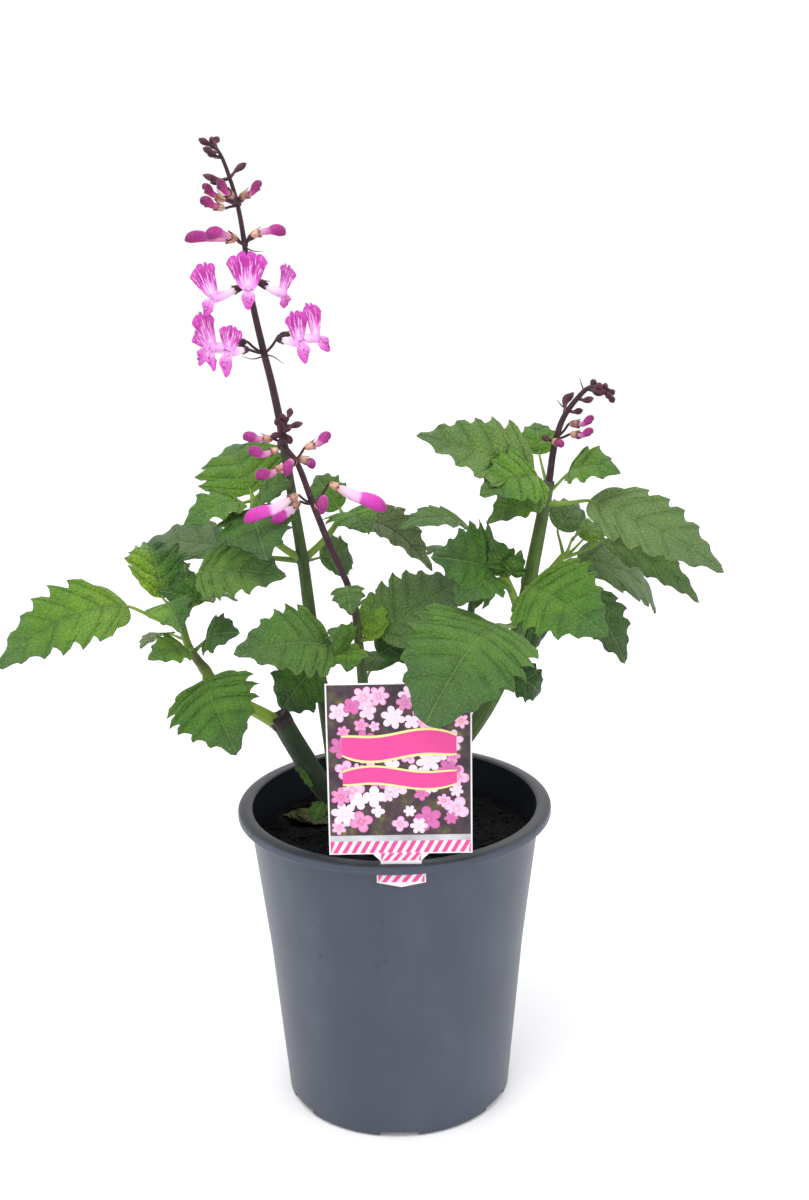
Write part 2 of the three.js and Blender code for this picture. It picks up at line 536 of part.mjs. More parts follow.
function spike(name) {
  const { stem, route, radii } = SPIKES[name];
  const way = new THREE.CatmullRomCurve3(stem.route.map(vec), false, 'centripetal').getTangent(1);
  const start = vec(stem.route.at(-1)).addScaledVector(way, SPIKE_GAP);
  const second = start.clone().addScaledVector(way, 4);
  const whole = [start.toArray(), second.toArray(), ...route];
  const flowers = [...Object.values(BLOOMS), ...Object.values(BUDS)].filter((f) => f.spike === name);
  return named(`spike_${name}`, fuse([
    stalk(whole, evenRings(radii, whole.length + 1), 5),
    ...flowers.map(calyxSolid),
    ...SMALL_BUDS[name].map(smallBudSolid),
  ]), COLOURS.spike, 0.6);
}

// A petal is a fan of columns that spread from a narrow base to a scalloped outer edge.
function petal(base, tip, face, span, lobes, columns) {
  const axes = bladeAxes(base, tip, face);
  const vertices = [];
  const triangles = [];
  for (let c = 0; c <= columns; c += 1) {
    const across = (2 * c) / columns - 1;
    const scallop = 1 - 0.22 * across ** 2 - 0.14 * Math.abs(Math.cos((across * lobes * Math.PI) / 2));
    for (let t = 0; t <= 1; t += 1) {
      const point = axes.base.clone().addScaledVector(axes.along, axes.length * t * scallop * 1.12);
      point.addScaledVector(axes.side, across * (1.3 + (span / 2 - 1.3) * t));
      vertices.push(point.addScaledVector(axes.up, (span / 7) * t * across ** 2));
      if (c === 0 || t === 0) continue;
      const here = 2 * c + 1;
      triangles.push([here - 3, here - 1, here], [here - 3, here, here - 2]);
    }
  }
  return blade(vertices, triangles, 0.8);
}

// An open flower: tube, scalloped upper lip and tongue-like lower lip
function bloom(name) {
  const { neck, throat, lip, tongue, span } = BLOOMS[name];
  const way = vec(throat).sub(vec(neck)).normalize();
  const start = vec(neck).addScaledVector(way, GAP).toArray();
  const mouth = vec(throat).addScaledVector(way, 1).toArray();
  const inside = vec(throat).addScaledVector(way, -1).toArray();
  const tube = stalk([start, mouth], [[0, 1.9], [0.5, 3], [1, 2.6]], 5);
  const front = way.clone().add(vec([0, -BLOOM_TURN, 0])).toArray();
  const upper = petal(inside, lip, front, span, 4, 6);
  const lower = petal(inside, tongue, front, 7, 1, 2);
  return named(name, fuse([tube, upper, lower]), COLOURS.bloom, 0.5);
}

function bud(name) {
  const { neck, bend, end, girth } = BUDS[name];
  const way = vec(bend).sub(vec(neck)).normalize();
  const start = vec(neck).addScaledVector(way, GAP).toArray();
  const radii = [1.7, 2.2, girth, girth, 0.35 * girth];
  return named(name, stalk([start, bend, end], evenRings(radii, 4), 6), COLOURS.bud, 0.5);
}

// Pot: one turned shell with notches under its edge, drain holes and the slot for the label

function wallRadius(z) {
  const i = Math.max(1, WALL_PROFILE.findIndex(([, height]) => height >= z));
  const [r0, z0] = WALL_PROFILE[i - 1];
  const [r1, z1] = WALL_PROFILE[i];
  return r0 + ((r1 - r0) * (z - z0)) / (z1 - z0);
}

function potShell() {
  const inner = WALL_PROFILE.filter(([, z]) => z > 100).reverse()
    .map(([r, z]) => [r - POT_WALL, z]);
  const profile = [
    [0, 0], ...WALL_PROFILE, ...RIM_PROFILE, ...inner,
    [wallRadius(POT_FLOOR) - POT_WALL, POT_FLOOR], [0, POT_FLOOR],
  ];
  const shell = new THREE.LatheGeometry(profile.map(([r, z]) => new THREE.Vector2(r, z)), POT_SIDES);
  shell.rotateX(Math.PI / 2);
  return solid(shell);
}

function box(width, depth, height, x, y, z) {
  const geometry = new THREE.BoxGeometry(width, depth, height);
  geometry.translate(x, y, z);
  return solid(geometry);
}

function pot() {
  let body = potShell();
  for (let i = 0; i < NOTCH_COUNT; i += 1) {
    const turn = (i * 2 * Math.PI) / NOTCH_COUNT - Math.PI / 2;
    const notch = new THREE.BoxGeometry(2 * NOTCH_DEPTH, NOTCH_WIDTH, 2 * NOTCH_HEIGHT);
    notch.translate(WALL_PROFILE[0][0], 0, 0);
    notch.rotateZ(turn);
    const drain = new THREE.CylinderGeometry(DRAIN_RADIUS, DRAIN_RADIUS, 3 * POT_FLOOR, 8);
    drain.rotateX(Math.PI / 2);
    drain.translate(DRAIN_RING, 0, 0);
    drain.rotateZ(turn + Math.PI / NOTCH_COUNT);
    body = body.subtract(solid(notch)).subtract(solid(drain));
  }
  const slotWidth = LABEL_NECK_WIDTH + 2 * SLOT_CLEARANCE;
  const slotDepth = LABEL_THICKNESS + 2 * SLOT_CLEARANCE;
  const slot = box(slotWidth, slotDepth, 3 * RIM_BAND_HEIGHT, LABEL_X, LABEL_Y, POT_HEIGHT);
  return named('pot', body.subtract(slot), COLOURS.pot, 0.45);
}

// Label: a card that narrows to a neck in the slot and widens to a pointed tab below the rim
function label() {
  const half = LABEL_WIDTH / 2;
  const neck = LABEL_NECK_WIDTH / 2;
  const tab = LABEL_TAB_WIDTH / 2;
  const barb = POT_HEIGHT - RIM_BAND_HEIGHT;
  const right = [
    [half, LABEL_TOP], [half, LABEL_BOTTOM], [LABEL_SHOULDER_WIDTH / 2, LABEL_BOTTOM],
    [neck, LABEL_BOTTOM - LABEL_SHOULDER_HEIGHT], [neck, barb], [tab, barb - LABEL_TAB_BARB],
    [tab, barb - LABEL_TAB_BARB - LABEL_TAB_EDGE],
  ];
  const left = right.map(([x, z]) => [-x, z]).reverse();
  const outline = [...right, [0, LABEL_TAB_TIP], ...left].map(([x, z]) => new THREE.Vector2(x, z));
  const card = new THREE.ExtrudeGeometry(new THREE.Shape(outline), {
    depth: LABEL_THICKNESS, bevelEnabled: false,
  });
  card.rotateX(Math.PI / 2);
  card.translate(LABEL_X, LABEL_Y + LABEL_THICKNESS / 2, 0);
  return named('label', solid(card), COLOURS.label, 0.35);
}

// Height of the soil at a place: level, with low rounded clods
function soilHeight(x, y) {
  return SOIL_LEVEL + SOIL_BUMP * (Math.sin(x / 9 + 1) * Math.cos(y / 8) + 0.5 * Math.sin((x + y) / 5));
}

function soilSurface(x, y) {
  const edge = wallRadius(SOIL_LEVEL) - POT_WALL - GAP;
  const fade = Math.min(1, Math.max(0, (edge - Math.hypot(x, y)) / 6));
  return SOIL_LEVEL + (soilHeight(x, y) - SOIL_LEVEL) * fade;
}

function soil() {
  const bottom = POT_FLOOR + GAP;
  const reach = (z) => wallRadius(z) - POT_WALL - GAP - 0.25;
  const side = [bottom, ...WALL_PROFILE.map(([, z]) => z).filter((z) => z > bottom && z < SOIL_LEVEL),
    SOIL_LEVEL];
  const profile = [[0, bottom], ...side.map((z) => [reach(z), z])];
  for (let i = SOIL_RINGS - 1; i >= 0; i -= 1) {
    profile.push([(reach(SOIL_LEVEL) * i) / SOIL_RINGS, SOIL_LEVEL]);
  }
  const turned = new THREE.LatheGeometry(profile.map(([r, z]) => new THREE.Vector2(r, z)), SOIL_SIDES);
  turned.rotateX(Math.PI / 2);
  const place = turned.attributes.position;
  for (let i = 0; i < place.count; i += 1) {
    if (place.getZ(i) > SOIL_LEVEL - 0.01) place.setZ(i, soilSurface(place.getX(i), place.getY(i)));
  }
  let body = solid(turned);
  for (const stem of [STEMS.left, STEMS.main, STEMS.second, STEMS.mid, STEMS.right]) {
    const [x, y] = stem.route[0];
    const wide = Math.max(...stem.radii) + HOLE_CLEARANCE;
    const depth = 2 * (SOIL_LEVEL - HOLE_BOTTOM);
    const hole = new THREE.CylinderGeometry(wide, wide, depth, HOLE_SIDES);
    hole.rotateX(Math.PI / 2);
    hole.translate(x, y, SOIL_LEVEL);
    body = body.subtract(solid(hole));
  }
  return named('soil', body, COLOURS.soil, 0.95);
}

// Withered leaf on the soil at the left, its edge curled up
const FALLEN = { x: -58, y: 24, length: 36, width: 19, turn: -0.5, rest: 0.9 };

function fallenLeaf() {
  const { x, y, length, width, turn, rest } = FALLEN;
  const vertices = [];
  const triangles = [];
  const columns = 2;
  const steps = 6;
  for (let i = 0; i <= steps; i += 1) {
    for (let j = 0; j <= columns; j += 1) {
      const t = i / steps;
      const across = (2 * j) / columns - 1;
      const wide = (width / 2) * (0.12 + 0.88 * Math.sin(Math.PI * t) ** 0.7);
      const u = length * (t - 0.5);
      const v = across * wide;
      const px = x + u * Math.cos(turn) - v * Math.sin(turn);
      const py = y + u * Math.sin(turn) + v * Math.cos(turn);
      const curl = 3.5 * across ** 2 * Math.sin(Math.PI * t) + 1.5 * t ** 3;
      vertices.push(new THREE.Vector3(px, py, soilSurface(px, py) + rest + curl));
      if (i === 0 || j === 0) continue;
      const here = i * (columns + 1) + j;
      const back = here - columns - 1;
      triangles.push([back - 1, here - 1, here], [back - 1, here, back]);
    }
  }
  return named('fallen_leaf', blade(vertices, triangles, 0.6), COLOURS.withered, 0.8);
}

const group = new THREE.Group();
group.add(
  pot(),
  soil(),
  label(),
  fallenLeaf(),
  leafyStem('stem_left', [STEMS.left, STEMS.leftShoot], [...LEFT_LEAVES, ...BASAL_LEAVES]),
  leafyStem('stem_main', [STEMS.main, STEMS.mainLeft, STEMS.mainRight], MAIN_LEAVES),
  leafyStem('stem_second', [STEMS.second], SECOND_LEAVES),
  leafyStem('stem_mid', [STEMS.mid], MID_LEAVES),
  leafyStem('stem_right', [STEMS.right, STEMS.rightShoot, STEMS.rightFront], RIGHT_LEAVES),
  ...Object.keys(SPIKES).map(spike),
  ...Object.keys(BLOOMS).map(bloom),
  ...Object.keys(BUDS).map(bud),
);

export default group;
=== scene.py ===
"""A flowering plectranthus in its nursery pot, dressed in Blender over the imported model."""
# %% [markdown]
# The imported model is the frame. Everything below is in metres, in the same frame: the origin is
# the centre of the pot's underside, +Z is up and -Y is the front. Plant sizes are written in
# millimetres and multiplied by MM, because a gardener would measure them so.

import bmesh
import bpy
import numpy as np
from mathutils import Matrix


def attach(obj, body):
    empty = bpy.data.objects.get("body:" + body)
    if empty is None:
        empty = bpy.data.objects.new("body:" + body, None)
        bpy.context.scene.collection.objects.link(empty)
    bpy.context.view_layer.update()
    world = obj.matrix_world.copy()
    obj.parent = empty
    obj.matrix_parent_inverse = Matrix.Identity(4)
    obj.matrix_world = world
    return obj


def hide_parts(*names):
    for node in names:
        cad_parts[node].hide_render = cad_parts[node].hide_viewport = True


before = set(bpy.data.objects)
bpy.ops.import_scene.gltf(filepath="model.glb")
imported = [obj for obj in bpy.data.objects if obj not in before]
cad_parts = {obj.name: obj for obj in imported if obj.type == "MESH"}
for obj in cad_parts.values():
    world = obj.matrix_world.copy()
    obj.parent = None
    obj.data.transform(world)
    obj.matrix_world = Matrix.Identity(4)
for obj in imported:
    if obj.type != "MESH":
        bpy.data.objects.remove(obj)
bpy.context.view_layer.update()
MM = 0.001
print("nodes in the frame:", len(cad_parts))

# %% [markdown]
# The camera stands where the photographer stood: about a metre in front, a little above the
# flowers' middle, tilted down and rolled by under a degree. The lens follows from the width of
# the pot and the height of the plant in the picture. It has no shift.

# %% Camera
CAMERA_PLACE = (0.0084, -1.033, 0.637)
CAMERA_TILT = np.radians(90 - 16.39)
CAMERA_ROLL = np.radians(-0.9)
LENS = 52.18


def set_camera():
    """A camera pitched down from the level and then rolled about its own axis."""
    data = bpy.data.cameras.new("camera")
    data.lens = LENS
    data.sensor_width = 36
    camera = bpy.data.objects.new("camera", data)
    bpy.context.collection.objects.link(camera)
    heading = Matrix.Rotation(CAMERA_TILT, 4, "X") @ Matrix.Rotation(CAMERA_ROLL, 4, "Z")
    camera.matrix_world = Matrix.Translation(CAMERA_PLACE) @ heading
    bpy.context.scene.camera = camera


set_camera()

# %% [markdown]
# Every new piece is a set of patches. A patch is a grid of points, with numbers on each point
# that its material reads, such as the distance to the nearest vein. Patches of one piece go in one
# mesh, and points that fall together are welded, which closes seams and poles.

# %% Patches and meshes
WELD = 2e-6


def grid_quads(rows, columns, around):
    """Corners of the quads of a grid of rows by columns, closed across columns if around."""
    row, column = np.meshgrid(np.arange(rows - 1), np.arange(columns - (not around)), indexing="ij")
    right = (column + 1) % columns
    return np.stack([row * columns + column, row * columns + right,
                     (row + 1) * columns + right, (row + 1) * columns + column], axis=-1).reshape(-1, 4)


def patch(points, around=False, flip=False, uv=None, **marks):
    """A grid of points, shaped rows by columns by three, with its marks and its UV in millimetres."""
    rows, columns = points.shape[:2]
    quads = grid_quads(rows, columns, around)
    spread = {name: np.broadcast_to(np.asarray(value, float), (rows, columns)).reshape(-1)
              for name, value in marks.items()}
    flat_uv = np.zeros((rows * columns, 2)) if uv is None else np.stack(
        [np.broadcast_to(part, (rows, columns)).reshape(-1) for part in uv], axis=-1)
    return {"points": points.reshape(-1, 3), "quads": quads[:, ::-1] if flip else quads,
            "uv": flat_uv, "marks": spread}


def full_turn(sides):
    """Evenly spaced angles once round, without the last one, which is the first again."""
    return np.linspace(0, 2 * np.pi, sides, endpoint=False)


def circle(turn, first, second):
    """Points at angles of a unit circle that two square directions span."""
    return np.cos(turn)[..., None] * first + np.sin(turn)[..., None] * second


def strip_grid(rows, columns):
    """Grids of t from 0 to 1 down the rows and of a from -1 to 1 across the columns."""
    return np.meshgrid(np.linspace(0, 1, rows), np.linspace(-1, 1, columns), indexing="ij")


def mirrored(grid):
    """A front face's grid followed by the same for its rear face, run back the other way."""
    return np.concatenate([grid, grid[:, ::-1]], axis=1)


def weld(mesh):
    """Merges points that fall together, which closes seams and turns quads at a pole to triangles."""
    shape = bmesh.new()
    shape.from_mesh(mesh)
    bmesh.ops.remove_doubles(shape, verts=shape.verts, dist=WELD)
    bmesh.ops.dissolve_degenerate(shape, edges=shape.edges, dist=WELD)
    shape.to_mesh(mesh)
    shape.free()


def mesh_object(name, patches, material):
    """One mesh of all the patches. A mark that a patch doesn't carry is 0 on its points."""
    starts = np.cumsum([0] + [len(p["points"]) for p in patches])
    points = np.concatenate([p["points"] for p in patches])
    quads = np.concatenate([p["quads"] + start for p, start in zip(patches, starts)])
    mesh = bpy.data.meshes.new(name)
    mesh.vertices.add(len(points))
    mesh.vertices.foreach_set("co", points.reshape(-1))
    mesh.loops.add(quads.size)
    mesh.loops.foreach_set("vertex_index", quads.reshape(-1).astype(np.int32))
    mesh.polygons.add(len(quads))
    mesh.polygons.foreach_set("loop_start", np.arange(0, quads.size, 4, dtype=np.int32))
    uv = np.concatenate([p["uv"] for p in patches])
    layer = mesh.uv_layers.new(name="flat")
    layer.data.foreach_set("uv", uv[quads.reshape(-1)].reshape(-1))
    for mark in dict.fromkeys(key for p in patches for key in p["marks"]):
        values = np.concatenate([p["marks"].get(mark, np.zeros(len(p["points"]))) for p in patches])
        mesh.attributes.new(mark, "FLOAT", "POINT").data.foreach_set("value", values.astype(np.float32))
    mesh.update()
    weld(mesh)
    mesh.polygons.foreach_set("use_smooth", np.ones(len(mesh.polygons), dtype=bool))
    mesh.materials.append(material)
    thing = bpy.data.objects.new(name, mesh)
    bpy.context.collection.objects.link(thing)
    print(name, len(mesh.polygons), "faces")
    return thing


def piece(name, patches, material, nodes=(), body="root"):
    """A mesh object that rides on its body and stands for the CAD nodes."""
    thing = mesh_object(name, patches, material)
    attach(thing, body)
    if nodes:
        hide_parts(*nodes)
    return thing


# %% [markdown]
# Materials are written as Python expressions. A Wire is one output socket of a material's nodes,
# and + - * on it add a Math node. Colours blend through a Mix node, which Math would turn grey.

# %% Wires of a material
class Wire:
    """An output socket that answers to + - * and abs with a new Math node."""

    def __init__(self, tree, socket):
        self.tree = tree
        self.socket = socket

    def node(self, kind, settings=None, inputs=None, out=0):
        """A new node: its settings first, then the values or links of its sockets."""
        made = self.tree.nodes.new(kind)
        for key, value in (settings or {}).items():
            if key == "stops":
                fill_ramp(made.color_ramp, value)
            else:
                setattr(made, key, value)
        for key, value in (inputs or {}).items():
            if isinstance(value, Wire):
                self.tree.links.new(value.socket, made.inputs[key])
            else:
                made.inputs[key].default_value = value
        return Wire(self.tree, made.outputs[out])

    def math(self, operation, first, second=0.0):
        return self.node("ShaderNodeMath", {"operation": operation}, {0: first, 1: second})

    def __add__(self, other):
        return self.math("ADD", self, other)

    def __radd__(self, other):
        return self.math("ADD", other, self)

    def __sub__(self, other):
        return self.math("SUBTRACT", self, other)

    def __rsub__(self, other):
        return self.math("SUBTRACT", other, self)

    def __mul__(self, other):
        return self.math("MULTIPLY", self, other)

    def __rmul__(self, other):
        return self.math("MULTIPLY", other, self)

    def __abs__(self):
        return self.math("ABSOLUTE", self)

    def rise(self, low, high, start=0.0):
        """Start up to low, 1 - start from high on, and a smooth S between them."""
        return self.node("ShaderNodeMapRange", {"interpolation_type": "SMOOTHSTEP"},
                         {"Value": self, "From Min": low, "From Max": high,
                          "To Min": start, "To Max": 1.0 - start})

    def fall(self, low, high):
        """1 up to low, 0 from high on, and a smooth S between them."""
        return self.rise(low, high, 1.0)

    def blend(self, low, high):
        """Colour low where this wire is 0 and colour high where it is 1."""
        return self.node("ShaderNodeMix", {"data_type": "RGBA"},
                         {0: self, 6: colour(low), 7: colour(high)}, out=2)

    def coats(self, *layers):
        """This colour under others that are laid over it in turn, each a mask and a colour."""
        look = self
        for mask, shade in layers:
            look = mask.blend(look, shade)
        return look

    def choose(self, look, *others):
        """The look whose number this wire gives, counted from 0."""
        for number, other in enumerate(others, 1):
            look = self.rise(number - 0.6, number - 0.4).blend(look, other)
        return look

    def ramp(self, stops):
        """A colour ramp read at this wire."""
        return self.node("ShaderNodeValToRGB", {"stops": stops}, {0: self})


def fill_ramp(ramp, stops):
    """Sets a ramp's stops from a list of (place, colour)."""
    while len(ramp.elements) < len(stops):
        ramp.elements.new(1.0)
    for element, (place, shade) in zip(ramp.elements, stops):
        element.position = place
        element.color = colour(shade)


def colour(value):
    """A wire left as it is, or a colour given on a screen, from 0 to 255, turned to the linear
    numbers Blender uses."""
    if isinstance(value, Wire):
        return value
    part = np.array(value) / 255
    linear = np.where(part <= 0.04045, part / 12.92, ((part + 0.055) / 1.055) ** 2.4)
    return (*(float(v) for v in linear), 1.0)


class Finish:
    """One material: its shader's constant values, and the wires that change over the surface."""

    def __init__(self, name, **constants):
        self.material = bpy.data.materials.new(name)
        self.material.use_nodes = True
        self.tree = self.material.node_tree
        self.shader = self.tree.nodes["Principled BSDF"]
        for key, value in constants.items():
            self.shader.inputs[key.replace("_", " ")].default_value = value
        self.start = Wire(self.tree, None)

    def mark(self, name):
        """A number that the piece's patches carry on their points."""
        return self.start.node("ShaderNodeAttribute", {"attribute_name": name}, out="Fac")

    def place(self, kind="Object"):
        """Object coordinates in metres, or the patch's UV in millimetres."""
        return self.start.node("ShaderNodeTexCoord", out=kind)

    def stretched(self, place, scale):
        """Coordinates stretched by a scale for each axis."""
        return self.start.node("ShaderNodeMapping", None, {"Vector": place, "Scale": scale})

    def noise(self, place, scale, detail=3.0, rough=0.5):
        """Soft noise about 0.5, with as many finer layers as detail says."""
        return self.start.node("ShaderNodeTexNoise", None,
                               {"Vector": place, "Scale": scale, "Detail": detail, "Roughness": rough})

    def cells(self, place, scale, feature="F1", flat=False):
        """Distance to the nearest of scattered points, or to the nearest edge between two."""
        return self.start.node("ShaderNodeTexVoronoi",
                               {"feature": feature, "voronoi_dimensions": "2D" if flat else "3D"},
                               {"Vector": place, "Scale": scale}, out="Distance")

    def wear(self, **wires):
        """Links wires to the shader: Base_Color, Roughness and such."""
        for key, wire in wires.items():
            self.tree.links.new(wire.socket, self.shader.inputs[key.replace("_", " ")])

    def bump(self, height, depth, strength=1.0):
        """Height in 0 to 1 becomes relief of that depth in metres."""
        bump = self.start.node("ShaderNodeBump", None,
                               {"Height": height, "Distance": depth, "Strength": strength})
        self.wear(Normal=bump)


# %% [markdown]
# Stalks of all kinds are tubes carried along a path. The path runs smoothly through a few given
# points, as a stem does between its nodes.

# %% Paths and tubes
def unit(vector):
    """The vector at length one, along the last axis."""
    vector = np.asarray(vector, float)
    return vector / np.maximum(np.linalg.norm(vector, axis=-1, keepdims=True), 1e-12)


def smooth_path(points, count):
    """Evenly spaced points of a centripetal Catmull-Rom curve through the given points: each
    stretch is a cubic whose slope at a point follows from its two neighbours."""
    knots = np.asarray(points, float)
    ends = np.concatenate([[2 * knots[0] - knots[1]], knots, [2 * knots[-1] - knots[-2]]])
    times = np.concatenate([[0], np.cumsum(np.linalg.norm(np.diff(ends, axis=0), axis=1) ** 0.5)])
    fine = np.linspace(times[1], times[-2], 40 * len(knots))
    seat = np.clip(np.searchsorted(times, fine, side="right") - 1, 1, len(knots) - 1)
    t0, t1, t2, t3 = (times[seat + shift][:, None] for shift in (-1, 0, 1, 2))
    p0, p1, p2, p3 = (ends[seat + shift] for shift in (-1, 0, 1, 2))
    t = fine[:, None]
    a1 = ((t1 - t) * p0 + (t - t0) * p1) / (t1 - t0)
    a2 = ((t2 - t) * p1 + (t - t1) * p2) / (t2 - t1)
    a3 = ((t3 - t) * p2 + (t - t2) * p3) / (t3 - t2)
    b1 = ((t2 - t) * a1 + (t - t0) * a2) / (t2 - t0)
    b2 = ((t3 - t) * a2 + (t - t1) * a3) / (t3 - t1)
    curve = ((t2 - t) * b1 + (t - t1) * b2) / (t2 - t1)
    run = np.concatenate([[0], np.cumsum(np.linalg.norm(np.diff(curve, axis=0), axis=1))])
    even = np.linspace(0, run[-1], count)
    return np.stack([np.interp(even, run, curve[:, axis]) for axis in range(3)], axis=-1)


def tube_axes(path):
    """Two directions across a path at each of its points, square to it and to each other."""
    along = unit(np.gradient(path, axis=0))
    whole = np.abs(unit(path[-1] - path[0]))
    aside = np.eye(3)[np.argmin(whole)]
    first = unit(np.cross(along, aside))
    return first, np.cross(along, first)


def straight_axes(start, way):
    """Two directions across a straight line, as tube_axes gives them for a path."""
    first, second = tube_axes(np.array([start, start + way]))
    return first[0], second[0]


def tube(path, radius, sides, ridge=0.0, **marks):
    """A closed tube: the path plus radius times the circle, where the radius swells by ridge on
    four corners, as on a square stem. Its two end rows shrink to a point, as flat caps."""
    path = np.asarray(path, float)
    radius = np.broadcast_to(np.asarray(radius, float), (len(path),))
    first, second = tube_axes(path)
    turn = full_turn(sides)
    bulge = 1 + ridge * np.cos(4 * turn)
    ring = circle(turn, first[:, None], second[:, None]) * bulge[:, None]
    points = path[:, None] + radius[:, None, None] * ring
    points = np.concatenate([np.repeat(path[:1, None], sides, 1), points,
                             np.repeat(path[-1:, None], sides, 1)])
    steps = np.linalg.norm(np.diff(path, axis=0), axis=1)
    run = np.concatenate([[0, 0], np.cumsum(steps), [steps.sum()]])[:, None]
    across = turn[None, :] * float(radius.max())
    spread = {name: np.concatenate([np.ravel(value)[:1], np.ravel(value), np.ravel(value)[-1:]])[:, None]
              if np.size(value) > 1 else value for name, value in marks.items()}
    return patch(points, around=True, uv=(across / MM, run / MM), **spread)


def spread_radii(radii, count):
    """Radii at evenly spaced places, straight between the given ones."""
    return np.interp(np.linspace(0, 1, count), np.linspace(0, 1, len(radii)), radii)


# %% [markdown]
# The pot is an injection moulded nursery pot: one turned profile with a hollow rim band, notches
# under the foot and drain holes. A profile swept round the axis gives its smooth wall, which the
# faceted solid can't, and a Boolean cuts the notches, the holes and the slot for the card.

# %% Pot shape
POT_HEIGHT = 200 * MM
POT_WALL = 2 * MM
POT_FLOOR = 6 * MM
NOTCHES = 6
NOTCH = np.array([14, 25, 4]) * MM
DRAIN_RADIUS = 6 * MM
DRAIN_RING = 62 * MM
CARD_X = 4 * MM
CARD_Y = -95 * MM
CARD_THICKNESS = 0.6 * MM
SLOT = np.array([25, 1.6, 12]) * MM
SOIL_LEVEL = 176 * MM

WALL_PROFILE = np.array([[71.5, 0], [72.9, 2], [82, 105], [86.3, 141], [92.6, 193]]) * MM
RIM_PROFILE = np.array([
    [93.4, 196.4], [97.6, 196.6], [98.2, 196], [98.2, 194.6], [98.6, 194.2], [99.5, 194.2], [100, 194.8],
    [100, 197.6], [99.5, 198.6], [98, 199.3], [95.6, 199.8], [93.2, 200], [91.6, 199.7], [90.8, 198.8],
]) * MM


def wall_radius(z):
    """Outer radius of the pot's wall at a height."""
    return np.interp(z, WALL_PROFILE[:, 1], WALL_PROFILE[:, 0])


def turned(profile, sides=192):
    """A profile of radius and height, swept round the Z axis."""
    turn = full_turn(sides)
    radius, height = profile[:, 0, None], profile[:, 1, None]
    return np.stack([radius * np.cos(turn), radius * np.sin(turn),
                     np.broadcast_to(height, (len(profile), sides))], axis=-1)


def about_z(turn):
    """What row vectors are multiplied by to turn them about Z."""
    cos_t, sin_t = np.cos(turn), np.sin(turn)
    return np.array([[cos_t, sin_t, 0], [-sin_t, cos_t, 0], [0, 0, 1]])


def block(size, centre, turn=0.0):
    """The eight corners and six faces of a box about its centre, turned about Z."""
    corners = np.array([[x, y, z] for x in (-1, 1) for y in (-1, 1) for z in (-1, 1)]) * size / 2
    return (corners + centre) @ about_z(turn), [[0, 1, 3, 2], [4, 6, 7, 5], [0, 4, 5, 1], [2, 3, 7, 6],
                                                [0, 2, 6, 4], [1, 5, 7, 3]]


def cut(target, corners, quads):
    """Cuts a closed tool mesh out of the target and applies it."""
    tool_mesh = bpy.data.meshes.new("tool")
    tool_mesh.from_pydata(corners.tolist(), [], quads)
    tool = bpy.data.objects.new("tool", tool_mesh)
    bpy.context.collection.objects.link(tool)
    modifier = target.modifiers.new("cut", "BOOLEAN")
    modifier.object = tool
    modifier.solver = "EXACT"
    bpy.context.view_layer.update()
    shaped = bpy.data.meshes.new_from_object(target.evaluated_get(bpy.context.evaluated_depsgraph_get()))
    target.modifiers.clear()
    old = target.data
    target.data = shaped
    bpy.data.objects.remove(tool)
    bpy.data.meshes.remove(tool_mesh)
    bpy.data.meshes.remove(old)


def rod(radius, height, x, turn, sides=24):
    """A closed upright prism standing through the pot's floor at distance x, turned about Z."""
    angle = full_turn(sides)
    ring = np.stack([radius * np.cos(angle) + x, radius * np.sin(angle)], axis=-1)
    ring = ring @ about_z(turn)[:2, :2]
    corners = np.concatenate([np.c_[ring, np.full(sides, -height)], np.c_[ring, np.full(sides, height)]])
    side = [[i, (i + 1) % sides, sides + (i + 1) % sides, sides + i] for i in range(sides)]
    caps = [list(range(sides))[::-1], list(range(sides, 2 * sides))]
    return corners, side + caps


# %% Pot
def make_pot(finish):
    """The turned shell: down the outside from the rim, across the floor and up the inside."""
    foot = np.array([[0, 0], [70.9, 0], [71.5, 0.6]]) * MM
    heights = np.linspace(2, 193, 34) * MM
    outside = np.stack([wall_radius(heights), heights], axis=-1)
    inside = np.stack([wall_radius(heights) - POT_WALL, heights], axis=-1)[:0:-1]
    inside = inside[inside[:, 1] > POT_FLOOR + 1 * MM]
    floor_edge = wall_radius(POT_FLOOR) - POT_WALL
    base = np.array([[floor_edge, POT_FLOOR + 0.8 * MM], [floor_edge - 0.8 * MM, POT_FLOOR], [0, POT_FLOOR]])
    profile = np.concatenate([foot, outside, RIM_PROFILE, inside, base])
    # inner is 1 on the rim's inner side, the inner wall and the floor: the part given painted shade
    inner = np.linspace(0, 1, len(profile)) > (len(foot) + len(outside) + 9) / len(profile)
    shell = patch(turned(profile), around=True, flip=True, inner=inner[:, None])
    pot = piece("pot_shell", [shell], finish, ["pot"])
    for k in range(NOTCHES):
        turn = 2 * np.pi * k / NOTCHES - np.pi / 2
        size = NOTCH * np.array([2, 1, 2])
        cut(pot, *block(size, np.array([WALL_PROFILE[0, 0], 0, 0]), turn))
        cut(pot, *rod(DRAIN_RADIUS, 3 * POT_FLOOR, DRAIN_RING, turn + np.pi / NOTCHES))
    cut(pot, *block(SLOT, np.array([CARD_X, CARD_Y, POT_HEIGHT])))
    pot.data.polygons.foreach_set("use_smooth", np.ones(len(pot.data.polygons), dtype=bool))
    pot.data.set_sharp_from_angle(angle=np.radians(38))
    return pot
